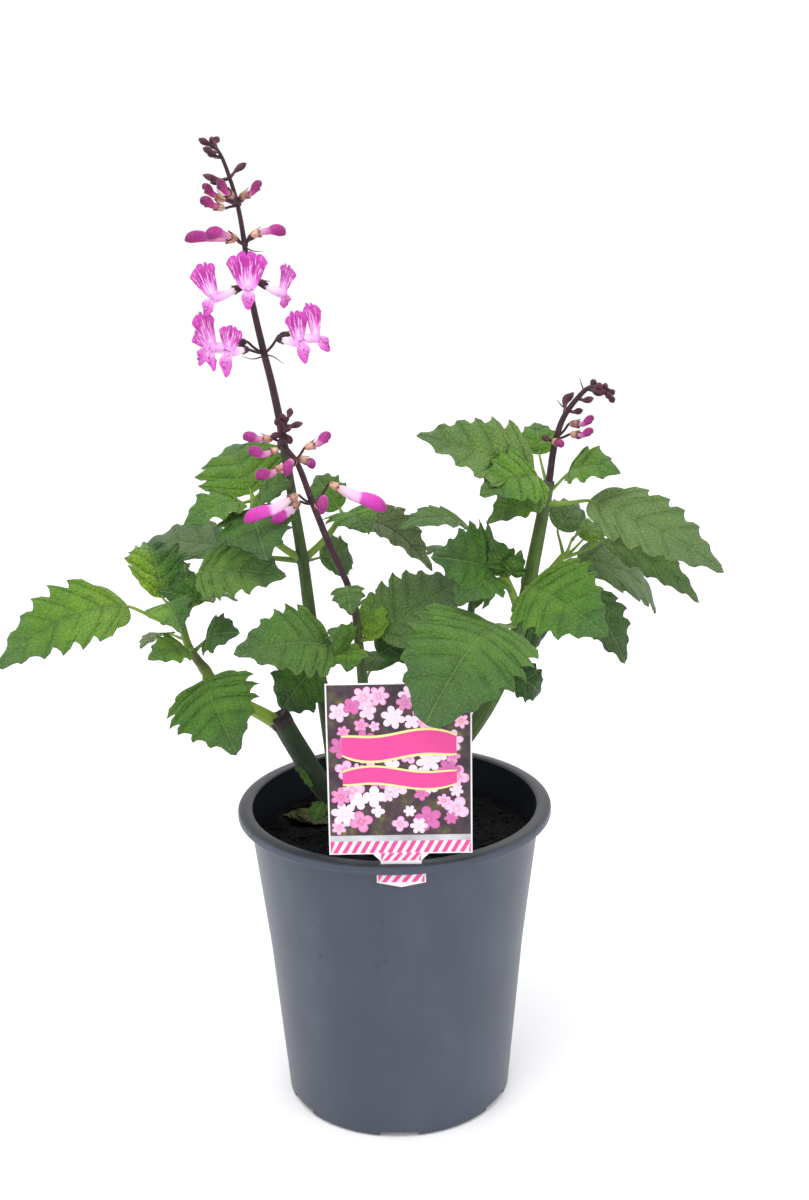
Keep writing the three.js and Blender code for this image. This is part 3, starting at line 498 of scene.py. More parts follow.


# %% [markdown]
# The plastic is a satin dark slate. Handling leaves faint upright smudges, dried water leaves
# round marks, and dust settles as a paler film, so all three are mixed in the colour and gloss.
# The inside of the pot is painted a nearly black blue, as painted shade where the wall and the
# plant keep the light out.

# %% Finish of the pot
def pot_finish():
    finish = Finish("pot_plastic", Specular_IOR_Level=0.45)
    place = finish.place()
    smudge = finish.noise(finish.stretched(place, (1, 1, 0.35)), 28, 5, 0.6)
    film = finish.noise(place, 9, 3, 0.5)
    grain = finish.noise(place, 900, 2, 0.5)
    drops = finish.cells(finish.stretched(place, (1, 1, 0.7)), 90)
    marks = drops.fall(0.10, 0.17) * finish.noise(place, 14, 2).rise(0.52, 0.66)
    # The last coat darkens the inside of the pot almost to black: painted shade, not a colour of the
    # plastic.
    look = (film * 0.6 + smudge * 0.4).ramp([(0.3, (53, 60, 74)), (0.7, (66, 74, 90))]).coats(
        (smudge.rise(0.5, 0.8) * 0.12, (108, 114, 127)), (marks * 0.55, (44, 49, 59)),
        (finish.mark("inner") * 0.93, (14, 18, 27)))
    finish.wear(Base_Color=look, Roughness=0.3 + 0.16 * smudge + 0.1 * marks)
    finish.bump(grain * 0.5 + film * 0.5, 0.00012, 0.5)
    return finish.material


make_pot(pot_finish())

# %% [markdown]
# The soil is a moist, nearly black mix. Its top is a height field of clods, with a skirt that
# follows the pot's inner wall. Chips of bark and thin fibres lie on it as small solids, because
# a bump alone looks flat where the light grazes it.

# %% Soil
SOIL_BUMP = 1.6
SOIL_GAP = 0.35
SOIL_RINGS = 90
SOIL_SIDES = 220
GOLDEN_TURN = 2.4
CHIPS = 900
FIBRES = 90


def low_waves(x, y):
    """The two low waves that the solid soil has as well, in millimetres."""
    return SOIL_BUMP * (np.sin(x / 9 + 1) * np.cos(y / 8) + 0.5 * np.sin((x + y) / 5))


def clods(x, y):
    """Height of the soil in millimetres over its level: the low waves, and finer waves of falling
    size whose directions turn by the golden angle."""
    height = low_waves(x, y)
    for k in range(1, 15):
        turn = GOLDEN_TURN * k
        reach = 5.5 / k ** 0.7
        along = x * np.cos(turn) + y * np.sin(turn)
        across = y * np.cos(turn) - x * np.sin(turn)
        height = height + 0.75 / k ** 0.6 * np.sin(along / reach + k) \
            * np.cos(across / (1.3 * reach) + 2 * k)
    return height


def soil_top(x, y):
    """The soil's surface in millimetres: level with clods that fade at the wall."""
    edge = wall_radius(SOIL_LEVEL) / MM - POT_WALL / MM - SOIL_GAP
    fade = np.clip((edge - np.hypot(x, y)) / 5, 0, 1)
    return SOIL_LEVEL / MM + clods(x, y) * fade


def make_soil(finish):
    """A disc of clods, the skirt down along the wall and the flat underside, all turned."""
    edge = wall_radius(SOIL_LEVEL) - POT_WALL - SOIL_GAP * MM
    heights = np.linspace(SOIL_LEVEL, POT_FLOOR + SOIL_GAP * MM, 14)
    skirt = wall_radius(heights[1:]) - POT_WALL - 0.6 * MM
    radius = np.concatenate([edge * np.linspace(0, 1, SOIL_RINGS), skirt, [0]])
    level = np.concatenate([np.full(SOIL_RINGS, SOIL_LEVEL), heights[1:], heights[-1:]])
    points = turned(np.stack([radius, level], axis=-1), SOIL_SIDES)
    disc = points[:SOIL_RINGS]
    disc[..., 2] = soil_top(disc[..., 0] / MM, disc[..., 1] / MM) * MM
    piece("soil_body", [patch(points, around=True, flip=True)], finish, ["soil"])


def make_crumbs(finish, rng):
    """Chips: lumpy closed six by five grids. Fibres: thin tubes bent along a small arc."""
    patches = []
    turn = full_turn(6)
    lean = np.linspace(0, np.pi, 5)[:, None]
    ball = np.stack([np.sin(lean) * np.cos(turn), np.sin(lean) * np.sin(turn),
                     np.cos(lean) * np.ones(6)], axis=-1)
    for _ in range(CHIPS):
        size = rng.uniform(0.5, 1.5) * np.array([rng.uniform(1, 2.4), 1, rng.uniform(0.35, 0.8)])
        lump = ball * size * rng.uniform(0.75, 1.2, (5, 1, 1))
        basis = np.linalg.qr(rng.normal(size=(3, 3)) + 2.2 * np.eye(3))[0]
        reach, angle = 82 * np.sqrt(rng.uniform()), rng.uniform(0, 2 * np.pi)
        spot = np.array([reach * np.cos(angle), reach * np.sin(angle)])
        centre = np.array([*spot, soil_top(*spot) + 0.25 * size[2]])
        patches.append(patch((lump @ basis.T + centre) * MM, around=True, flip=np.linalg.det(basis) > 0,
                             shade=rng.uniform() ** 3))
    for _ in range(FIBRES):
        reach = 76 * np.sqrt(rng.uniform())
        angle, way = rng.uniform(0, 2 * np.pi, 2)
        along = np.linspace(-1, 1, 9)[:, None]
        heading = np.array([np.cos(way), np.sin(way)])
        aside = np.array([-heading[1], heading[0]])
        flat = np.array([reach * np.cos(angle), reach * np.sin(angle)]) \
            + along * rng.uniform(3, 9) * heading + along ** 2 * rng.uniform(-3, 3) * aside
        height = soil_top(flat[:, 0], flat[:, 1]) + 0.5 + 0.6 * np.sin(3 * along[:, 0])
        patches.append(tube(np.c_[flat, height] * MM, 0.22 * MM, 5, shade=rng.uniform(0.4, 1)))
    piece("soil_crumbs", patches, finish)


# %% Finish of the soil
def soil_finish():
    finish = Finish("potting_mix", Specular_IOR_Level=0.15)
    place = finish.place()
    speck = finish.noise(place, 700, 4, 0.7)
    damp = finish.noise(place, 30, 3, 0.5)
    base = (speck * 0.7 + damp * 0.3).ramp([
        (0.35, (4, 5, 8)), (0.6, (10, 12, 16)), (0.78, (27, 26, 29))])
    chips = (finish.mark("shade") * 0.6).blend(base, (54, 48, 44))
    finish.wear(Base_Color=chips, Roughness=0.95 - 0.35 * damp.rise(0.55, 0.75))
    finish.bump(speck, 0.0008, 0.9)
    return finish.material


mix = soil_finish()
make_soil(mix)
make_crumbs(mix, np.random.default_rng(7))

# %% [markdown]
# The plant card is a thin plastic sheet with a neck that sits in the rim's slot and a pointed tab
# under the rim. Its print is made of flat coloured shapes a hair above the card, which stay crisp
# at any distance: a dark ground, plain blossoms, two blank ribbons and slanting candy stripes.

# %% Card
CARD_OUTLINE = np.array([
    [42, 312], [42, 206], [16.5, 206], [12, 201.5], [12, 194.5], [14.5, 193], [14.5, 187.5], [0, 184.5],
]) * MM
CARD_FRONT = CARD_Y - CARD_THICKNESS / 2
PRINT_HALF = 41.1
PRINT_LOW, PRINT_HIGH = 218, 311.2
BAR_LOW = 214.5
BLOSSOMS = 58
RIBBON_LAYER = BLOSSOMS + 4
RIBBON_HALF = 33
RIBBONS = ((274, 17, 14, 2.2), (254, 12, 9.5, -2))
STRIPES = ((206.9, 214.2, PRINT_HALF, 17), (187.9, 193, 13.6, 6), (201.8, 206.6, 11.6, 6))
STRIPE_LEAN = 4
INK_STEP = 0.004 * MM


def ink_level(layer):
    """The place in y of a printed layer, each a hair in front of the one before."""
    return CARD_FRONT - 0.02 * MM - (layer + 1) * INK_STEP


def card_shape(xz, front, back):
    """Closed slab over an outline that is symmetric in x: rows of left, middle and right points."""
    right = xz + [CARD_X, 0]
    left = xz * [-1, 1] + [CARD_X, 0]
    cells = np.linspace(0, 1, 9)[None, :, None]
    sheet = left[:, None] * (1 - cells) + right[:, None] * cells
    face = np.stack([sheet[..., 0], np.full(sheet.shape[:2], front), sheet[..., 1]], axis=-1)
    rear = face[:, ::-1].copy()
    rear[..., 1] = back
    loop = np.concatenate([face, rear], axis=1)
    cap = loop.copy()
    middle = (front + back) / 2
    cap[[0, -1], :, 1] = middle
    return np.concatenate([cap[:1], loop, cap[-1:]])


def blossom(centre, size, turn, lift, petals, paleness):
    """Flat petals: each a fan from the heart whose reach follows a rounded lobe."""
    angle = full_turn(12 * petals)
    reach = size * (0.52 + 0.48 * np.abs(np.sin(petals * angle / 2)) ** 0.7)
    rows = np.array([0.0, 0.18, 0.6, 1.0])[:, None]
    x = centre[0] + rows * reach * np.cos(angle + turn)
    z = centre[1] + rows * reach * np.sin(angle + turn)
    points = np.stack([x, np.full(x.shape, lift), z], axis=-1)
    ink = np.array([0.0, 0.1, 0.75, 1.0])[:, None]
    return patch(points, around=True, flip=True, ink=ink, kind=1.0, paleness=paleness)


def band(low, high, edges, lift, kind, cells=12):
    """A flat band between two heights. Its edges are four places in x from the card's middle: low
    left, low right, high left and high right, all in millimetres."""
    x = np.stack([np.linspace(edges[0], edges[1], cells), np.linspace(edges[2], edges[3], cells)])
    z = np.array([[low], [high]]) * np.ones(cells)
    points = np.stack([x * MM + CARD_X, np.full(x.shape, lift), z * MM], axis=-1)
    return patch(points, ink=0.5, kind=kind)


def blossom_places(count, rng):
    """Places of blossoms in millimetres from the card's middle line, with size, turn and petals:
    a loose lattice, shaken so that no two rows look alike."""
    steps = np.arange(count)
    x = (steps * 0.618034 % 1 - 0.5) * 78 + rng.uniform(-3, 3, count)
    z = 221 + 88 * (steps + 0.5) / count + rng.uniform(-3, 3, count)
    size = rng.uniform(3.2, 8.2, count)
    x = np.clip(x, size - 40.5, 40.5 - size)
    z = np.clip(z, 218.5 + size, 310.5 - size)
    order = np.argsort(rng.uniform(size=count))
    return np.stack([x, z, size, rng.uniform(0, 6, count), rng.integers(4, 7, count)], axis=-1)[order]


def ribbon(level, height, sag, lift, kind):
    """A level band whose middle line waves once across the card."""
    x = np.linspace(-RIBBON_HALF, RIBBON_HALF, 40)
    middle = level + sag * np.sin(x / RIBBON_HALF * np.pi)
    ends = 1 - 0.25 * (np.abs(x) / RIBBON_HALF) ** 6
    z = np.stack([middle - height / 2 * ends, middle + height / 2 * ends])
    x = np.broadcast_to(x, z.shape)
    return patch(np.stack([x * MM + CARD_X, np.full(z.shape, lift), z * MM], axis=-1), kind=kind)


def stripes(low, high, half, lift, count):
    """Slanting stripes across a band, cut off at its sides."""
    patches = []
    reach = 2 * (half + STRIPE_LEAN)
    for k in range(count):
        start = reach * (k / count - 0.5)
        ends = np.array([start, start + reach / count / 2])
        edges = np.clip(np.concatenate([ends, ends + STRIPE_LEAN]), -half, half)
        if max(edges[1] - edges[0], edges[3] - edges[2]) >= 0.2:
            patches.append(band(low, high, edges, lift, kind=3.0, cells=3))
    return patches


def make_card(sheet_finish, print_finish):
    """The white sheet, and its print from the dark ground up to the stripes."""
    body = card_shape(CARD_OUTLINE, CARD_FRONT, CARD_FRONT + CARD_THICKNESS)
    card = piece("card_sheet", [patch(body, around=True, flip=True)], sheet_finish, ["label"])
    card.data.set_sharp_from_angle(angle=np.radians(30))
    full = PRINT_HALF * np.array([-1, 1, -1, 1])
    patches = [band(PRINT_LOW, PRINT_HIGH, full, ink_level(0), kind=0.0)]
    rng = np.random.default_rng(41)
    for k, (x, z, size, turn, petals) in enumerate(blossom_places(BLOSSOMS, rng), 1):
        patches.append(blossom((CARD_X + x * MM, z * MM), size * MM, turn, ink_level(k), int(petals),
                               rng.uniform()))
    for k, (level, height, inside, sag) in enumerate(RIBBONS):
        under = RIBBON_LAYER + 2 * k
        patches += [ribbon(level, height, sag, ink_level(under), 2.0),
                    ribbon(level, inside, sag, ink_level(under + 1), 3.0)]
    top = ink_level(RIBBON_LAYER + 2 * len(RIBBONS))
    patches.append(band(BAR_LOW, PRINT_LOW, full, top, kind=4.0))
    for low, high, half, count in STRIPES:
        patches += stripes(low, high, half, top, count)
    piece("card_print", patches, print_finish)


# %% [markdown]
# The card is white where nothing is printed. The print reads three numbers on its points: what
# kind of shape it is, how far along its own colours it runs, and how pale its blossom is.

# %% Finish of the card
def card_sheet_finish():
    finish = Finish("card_white", Specular_IOR_Level=0.5, Roughness=0.28)
    finish.wear(Base_Color=finish.noise(finish.place(), 40, 2).ramp([
        (0.3, (226, 222, 224)), (0.8, (242, 240, 242))]))
    return finish.material


def card_print_finish():
    finish = Finish("card_print", Specular_IOR_Level=0.5, Roughness=0.26)
    kind, ink, place = finish.mark("kind"), finish.mark("ink"), finish.place()
    leafy = finish.noise(place, 110, 4, 0.6).ramp([
        (0.32, (30, 18, 30)), (0.5, (62, 38, 52)), (0.62, (74, 70, 44)), (0.75, (126, 120, 60))])
    paleness = finish.mark("paleness")
    petals = ink.ramp([
        (0.0, (250, 228, 150)), (0.12, (196, 60, 140)), (0.4, (233, 120, 186)),
        (0.8, (246, 178, 218)), (1.0, (228, 92, 170))]).coats(
        (finish.noise(place, 420, 2) * 0.5, (252, 226, 240)),
        (paleness.rise(0.5, 0.9) * 0.7, (250, 234, 246)), (paleness.fall(0.1, 0.3) * 0.8, (190, 66, 150)))
    silver = finish.noise(place, 60, 2).ramp([(0.3, (168, 166, 172)), (0.7, (206, 204, 210))])
    finish.wear(Base_Color=kind.choose(leafy, petals, (244, 226, 150), (228, 62, 146), silver))
    return finish.material


make_card(card_sheet_finish(), card_print_finish())

# %% [markdown]
# A leaf is one surface of two numbers: u runs from the base past one tooth after another to the
# tip, and s runs from the midrib (0) to the margin (1 or -1). Lines of equal u are the side veins,
# so the relief can swell between them and sink along them. The lower face follows the upper one
# at the blade's thickness, and both meet at the margin, which closes the leaf.

# %% Leaf outline
LEAF_THICKNESS = 0.5
LEAF_COLUMN = 3.4
TOOTH_START = 0.24
TOOTH_END = 0.9
VEIN_SHIFT = 0.1
TOOTH_REACH = 0.1
NOTCH_REACH = 0.17
VEIN_LEAN = 0.24
LONG_SIDE = np.array([0.0, 0.12, 0.24, 0.36, 0.46, 0.54, 0.62, 0.72, 0.82, 0.91, 0.97])
SHORT_SIDE = np.array([0.0, 0.12, 0.4, 0.75])

# In the habit, tone holds age and painted shade, dull a painted sheen, and split painted shade on one half.
LEAF_HABIT = {"arch": 6, "fold": 0.12, "taper": 0.72, "teeth": 4, "face": (0, -0.7, 0.7),
              "tone": 0.5, "dull": 0.0, "crinkle": 1.0, "blunt": 0.9, "cut": 1.0, "split": 0.0}


def leaf(start, base, tip, width, **habit):
    """One leaf: where its petiole leaves the stem, its base, its tip and its width in millimetres,
    with whatever differs from the common habit."""
    return {**LEAF_HABIT, "start": start, "base": base, "tip": tip, "width": width, **habit}


def half_width(form, t):
    """Half the blade's width at t along it: a skewed sine arch, blunter for a lower power."""
    arch = np.clip(np.sin(np.pi * np.clip(t, 0, 1) ** form["taper"]), 0, 1)
    return form["width"] / 2 * arch ** form["blunt"]


def leaf_margin(form, rng):
    """Margin of one side as t and x along u. The base is a quarter ellipse. Each tooth has a long
    side that bulges, with a small second tooth on it, and a short hollow side back to a notch."""
    stations = TOOTH_START + (TOOTH_END - TOOTH_START) * np.arange(form["teeth"]) / (form["teeth"] - 0.5)
    after = np.append(stations[1:], 1.0) - 0.015
    shift = VEIN_SHIFT * (1 - stations)
    wander = rng.uniform(-0.012, 0.012, (2, len(stations)))
    tips = np.stack([stations + shift + wander[0],
                     half_width(form, stations + shift * 0.7) * (1 + TOOTH_REACH * form["cut"])], axis=-1)
    notches = np.stack([stations * 0.45 + after * 0.55 + shift * 0.4 + wander[1],
                        half_width(form, (stations + after) / 2) * (1 - NOTCH_REACH * form["cut"])], axis=-1)
    first = np.array([0.16, half_width(form, 0.16) * 0.98])
    swing = np.linspace(0, np.pi / 2, 9)[:-1]
    parts = [np.stack([first[0] * (1 - np.cos(swing)), first[1] * np.sin(swing)], axis=-1)]
    u = [0.5 * np.linspace(0, 1, 9)[:-1]]
    length = np.linalg.norm(np.subtract(form["tip"], form["base"]))
    size = np.array([length, 1.0])
    for k in range(len(tips) + 1):
        low = first if k == 0 else notches[k - 1]
        high = tips[k] if k < len(tips) else np.array([1.0, 0.0])
        step = (high - low) * size
        out = np.array([-step[1], step[0]])
        second = np.clip(1 - np.abs(LONG_SIDE - 0.46) / 0.1, 0, 1) * (form["width"] > 26)
        bulge = 0.11 * np.sin(np.pi * LONG_SIDE) + 0.05 * second
        parts.append(low + LONG_SIDE[:, None] * (high - low) + bulge[:, None] * out / size)
        u.append(k + 0.5 + 0.5 * LONG_SIDE)
        if k < len(tips):
            step = (notches[k] - high) * size
            inward = np.array([step[1], -step[0]])
            hollow = 0.16 * np.sin(np.pi * SHORT_SIDE)
            parts.append(high + SHORT_SIDE[:, None] * (notches[k] - high) + hollow[:, None] * inward / size)
            u.append(k + 1 + 0.5 * SHORT_SIDE)
    parts.append(np.array([[1.0, 0.0]]))
    u.append([len(tips) + 1.0])
    return np.concatenate(parts), np.concatenate(u), tips


def blade_axes(base, tip, face):
    """Along a blade, across to its right, up out of its upper face, and its length."""
    step = np.subtract(tip, base)
    along = unit(step)
    side = unit(np.cross(along, face))
    return along, side, np.cross(side, along), np.linalg.norm(step)


# %% Leaf blade
def leaf_blade(form, rng):
    """Both faces of a leaf. A point is base + along L t + side x + up z, where z is the arch of
    the midrib, the fold of both halves, the pillows between veins, slow waves and a rim that
    turns down."""
    along, side, up, length = blade_axes(form["base"], form["tip"], form["face"])
    margins = [leaf_margin(form, rng) for _ in range(2)]
    u = margins[0][1]
    columns = int(np.clip(form["width"] / LEAF_COLUMN, 7, 15))
    inner = np.linspace(0, 1, columns)
    s = np.concatenate([inner[inner < 0.86], [0.9, 0.95, 0.98, 1.0]])
    s = np.concatenate([-s[:0:-1], s])[None, :]
    rim_t = np.where(s < 0, margins[0][0][:, 0, None], margins[1][0][:, 0, None])
    rim_x = np.where(s < 0, margins[0][0][:, 1, None], margins[1][0][:, 1, None])
    tips = (margins[0][2] + margins[1][2]) / 2
    rib_at = np.concatenate([[0], tips[:, 0] - VEIN_LEAN * tips[:, 1] / (form["width"] / 2), [1]])
    rib_u = np.concatenate([[0], np.arange(1, len(tips) + 1), [len(tips) + 1]])
    rib_t = np.interp(u, rib_u, np.maximum.accumulate(np.maximum(rib_at, 0)))[:, None]
    reach = np.abs(s)
    t = rib_t + (rim_t - rib_t) * reach ** 1.3
    x = rim_x * s

    vein = np.sin(np.pi * (u % 1.0))[:, None]
    size = form["width"]
    crinkle = form["crinkle"]
    wave = rng.uniform(0, 2 * np.pi, 8)
    z = form["arch"] * 4 * t * (1 - t) + form["fold"] * (np.sqrt(x ** 2 + 4) - 2)
    z += 0.03 * size * crinkle * vein ** 0.8 * (4 * reach * (1 - reach * 0.93)) ** 0.6 * np.sqrt(1 - t ** 4)
    z += 0.02 * size * crinkle * reach ** 2 * np.sin(5 * u[:, None] + np.where(s < 0, *wave[:2]))
    run = t * length
    z += 0.34 * crinkle * np.sin(x / 2.9 + 0.5 * np.sin(run / 5) + wave[2]) * np.sin(run / 3.3 + wave[3])
    z += 0.13 * crinkle * np.sin(x / 1.6 + run / 6 + wave[4]) * np.sin(run / 1.8 - x / 7 + wave[5])
    z -= 0.014 * size * reach ** 6
    z *= 1 - 0.9 * np.exp(-(t / 0.03) ** 2)

    base = np.array(form["base"], float)

    def raise_to(z_mm):
        return base + length * t[..., None] * along + x[..., None] * side + z_mm[..., None] * up

    top = raise_to(z)
    rib_gap = np.abs(x)
    tip_rows = [int(np.argmin(np.abs(u - k))) for k in range(1, len(tips) + 1)]
    vein_gap = np.linalg.norm(top[:, None] - top[None, tip_rows], axis=-1).min(1) * 0.75
    edge_gap = np.linalg.norm(top - np.where((s < 0)[..., None], top[:, :1], top[:, -1:]), axis=-1) * 0.8
    thorns = np.concatenate([top[tip_rows, 0], top[tip_rows, -1], top[-1:, 0]])
    thorn_gap = np.linalg.norm(top[:, :, None] - thorns, axis=-1).min(-1)

    thick = LEAF_THICKNESS * (1 - reach ** 10) \
        * np.clip(np.sin(np.pi * np.clip(t, 0.02, 0.99)) * 6, 0, 1)
    ribs = 0.9 * (1 - 0.75 * t) * np.exp(-(rib_gap / 0.8) ** 2)
    ribs = ribs + 0.35 * (1 - reach) * np.exp(-(vein_gap / 0.5) ** 2)
    low = raise_to(z - thick - ribs * np.clip(thick * 4, 0, 1) * (size / 45))

    loop = np.concatenate([top, low[:, ::-1]], axis=1) * MM
    # tone carries the leaf's age and its painted shade; split adds painted shade to one half.
    tone = form["tone"] + form["split"] * np.clip(3 * s, -1, 1) * np.ones_like(t)
    marks = {"rib": rib_gap, "vein": vein_gap, "edge": edge_gap, "thorn": thorn_gap, "along": t,
             "tone": tone}
    under = np.concatenate([np.zeros_like(t), np.ones_like(t)], axis=1)
    flat = (mirrored(x) + 90 * rng.uniform(), mirrored(t) * length)
    # dull is a painted sheen: it greys the green as on leaves seen against the light.
    return patch(loop, around=True, uv=flat, under=under, dull=form["dull"],
                 **{key: mirrored(value) for key, value in marks.items()})


# %% [markdown]
# The leaves are placed as on the photographed plant: opposite pairs up each stem, the young ones
# yellower and more crinkled, and the ones in shade painted darker and duller. Tone runs from young
# to old, and also darkens the leaves that stand in shade, as painted shade. Dull greys the green as
# a painted sheen, as on leaves seen against the light. Cut deepens the teeth, taper and blunt shape
# the outline, and split makes one half of a leaf darker than the other, as painted shade.

# %% Leaves of the left cluster
LEFT_LEAVES = [
    leaf((-125, -25, 325), (-158, -30, 341), (-232, -62, 313), 44, arch=18, teeth=5, tone=0.38, cut=1.35),
    # On these two folded leaves split darkens one half as painted shade.
    leaf((-128, -24, 334), (-138, -20, 343), (-152, 18, 368), 37, face=(0.3, -0.8, 0.4), fold=0.5,
         tone=0.45, crinkle=2.6, split=0.32),
    leaf((-128, -26, 333), (-135, -30, 342), (-122, -62, 334), 28, teeth=3, tone=0.5, split=-0.2),
    leaf((-127, -24, 334), (-117, -24, 342), (-139, -29, 350), 17, teeth=3, arch=3, face=(0, -0.8, 0.5),
         tone=0.7, crinkle=2),
    leaf((-127, -24, 334), (-121, -23, 338), (-124, -20, 364), 18, teeth=3, arch=3, face=(0, -0.9, 0.3),
         tone=0.65, crinkle=2.2),
    leaf((-127, -23, 337), (-116, -23, 359), (-61, -46, 362), 42, arch=5, teeth=5, tone=0.52, dull=0.15,
         cut=1.3),
    leaf((-114, -24, 299), (-114, -34, 295), (-92, -72, 261), 55, arch=7, teeth=5, face=(0, -0.9, 0.4),
         tone=0.6),
    leaf((-121, -27, 312), (-124, -33, 315), (-143, -58, 316), 24, teeth=3, arch=3, tone=0.35),
    leaf((-119, -25, 311), (-113, -28, 318), (-90, -44, 327), 28, teeth=3, arch=4, tone=0.8),
    leaf((-126, -22, 329), (-121, -10, 336), (-96, 12, 331), 22, teeth=3, face=(0, 0.3, 1), arch=4,
         tone=0.5, dull=0.5),
    leaf((-124, -24, 317), (-136, -10, 317), (-159, 14, 300), 18, teeth=3, face=(0, 0.3, 1), arch=3,
         tone=0.4),
    leaf((-127, -24, 331), (-126, -6, 333), (-116, 42, 322), 40, face=(0, 0.2, 1), arch=7, tone=0.6),
    leaf((-46, -8, 214), (-49, -10, 218), (-62, -18, 230), 15, teeth=3, arch=2, tone=0.6),
    leaf((-42, -8, 206), (-45, -12, 204), (-52, -22, 194), 12, teeth=3, arch=2, tone=0.7),
]

# %% Leaves of the main stem
MAIN_LEAVES = [
    leaf((-54, 5, 358), (-104, 24, 362), (-168, 52, 351), 48, face=(0, -0.35, 1), tone=0.8, dull=0.5),
    leaf((-54, 5, 358), (-44, 16, 357), (-24, 34, 350), 27, teeth=3, face=(0, -0.8, 0.5),
         tone=0.6, dull=0.5),
    leaf((-44, 4, 290), (-48, 5, 289), (-71, 8, 259), 38, teeth=3, face=(-0.1, -0.9, 0.4), tone=0.75),
    leaf((-45, 6, 290), (-50, 24, 294), (-72, 66, 284), 42, face=(0, 0.2, 1), tone=0.8),
    leaf((-82, -4, 399), (-84, 2, 402), (-98, 42, 424), 54, face=(-0.15, -0.7, 0.7), tone=0.5),
    leaf((-82, -4, 399), (-79, -5, 403), (-57, -17, 411), 26, teeth=3, arch=3, tone=0.6, dull=0.2),
    leaf((-82, -4, 399), (-88, -9, 399), (-122, -34, 389), 28, teeth=3, face=(-0.1, -0.5, 0.85), tone=0.5,
         crinkle=1.5),
    leaf((-82, -4, 399), (-83, -13, 396), (-71, -62, 377), 46, arch=1, face=(0, -0.75, 0.65), tone=0.72,
         cut=1.3),
    leaf((-29, 18, 384), (-31, 21, 387), (-47, 50, 402), 24, teeth=3, arch=3, face=(-0.3, -0.7, 0.6),
         tone=0.5),
    leaf((-29, 18, 384), (-27, 14, 386), (-13, -15, 380), 38, arch=4, face=(0.1, -0.6, 0.8), tone=0.5),
    leaf((-29, 18, 384), (-24, 26, 378), (27, 64, 334), 31, arch=14, teeth=5, face=(0, 0.8, 0.6),
         tone=0.6, dull=0.6, fold=0.3),
]

# %% Leaves of the second stem
SECOND_LEAVES = [
    leaf((-19, -25, 312), (-35, -36, 316), (-91, -72, 324), 47, arch=7, teeth=5, face=(0, -0.75, 0.65),
         tone=0.55, dull=0.15),
    leaf((-19, -25, 316), (-7, -25, 318), (45, 16, 341), 50, arch=5, teeth=5, face=(0, -0.8, 0.55),
         tone=0.65, dull=0.45),
    leaf((-18, -25, 316), (-11, -28, 317), (-12, -4, 340), 20, teeth=3, arch=3, face=(0, -0.9, 0.4),
         tone=0.3),
    leaf((-23, -27, 345), (-26, -33, 352), (-23, -50, 339), 20, teeth=3, arch=3, face=(0, -0.8, 0.5),
         tone=0.6, dull=0.3),
    leaf((-19, -25, 308), (-25, -34, 315), (-37, -46, 329), 24, teeth=3, arch=3, face=(-0.1, -0.8, 0.5),
         tone=0.4),
    leaf((-19, -25, 306), (-25, -34, 313), (-26, -54, 305), 24, teeth=3, arch=3, face=(0, -0.7, 0.7),
         tone=0.3),
    leaf((-18, -24, 300), (-8, -18, 304), (18, 6, 304), 30, arch=4, face=(0.1, -0.6, 0.8), tone=0.9),
    leaf((-18, -24, 286), (-14, -8, 290), (4, 36, 284), 38, teeth=3, face=(0, 0.2, 1), tone=0.8),
]

# %% Leaves of the thin stem right of the middle
MID_LEAVES = [
    leaf((57, 14, 370), (50, 13, 375), (5, -22, 384), 26, arch=8, face=(0, -0.4, 0.9), tone=0.55, dull=0.2),
    leaf((55, 14, 352), (50, 24, 352), (24, 60, 346), 34, teeth=3, face=(0, 0.2, 1), tone=0.7),
]

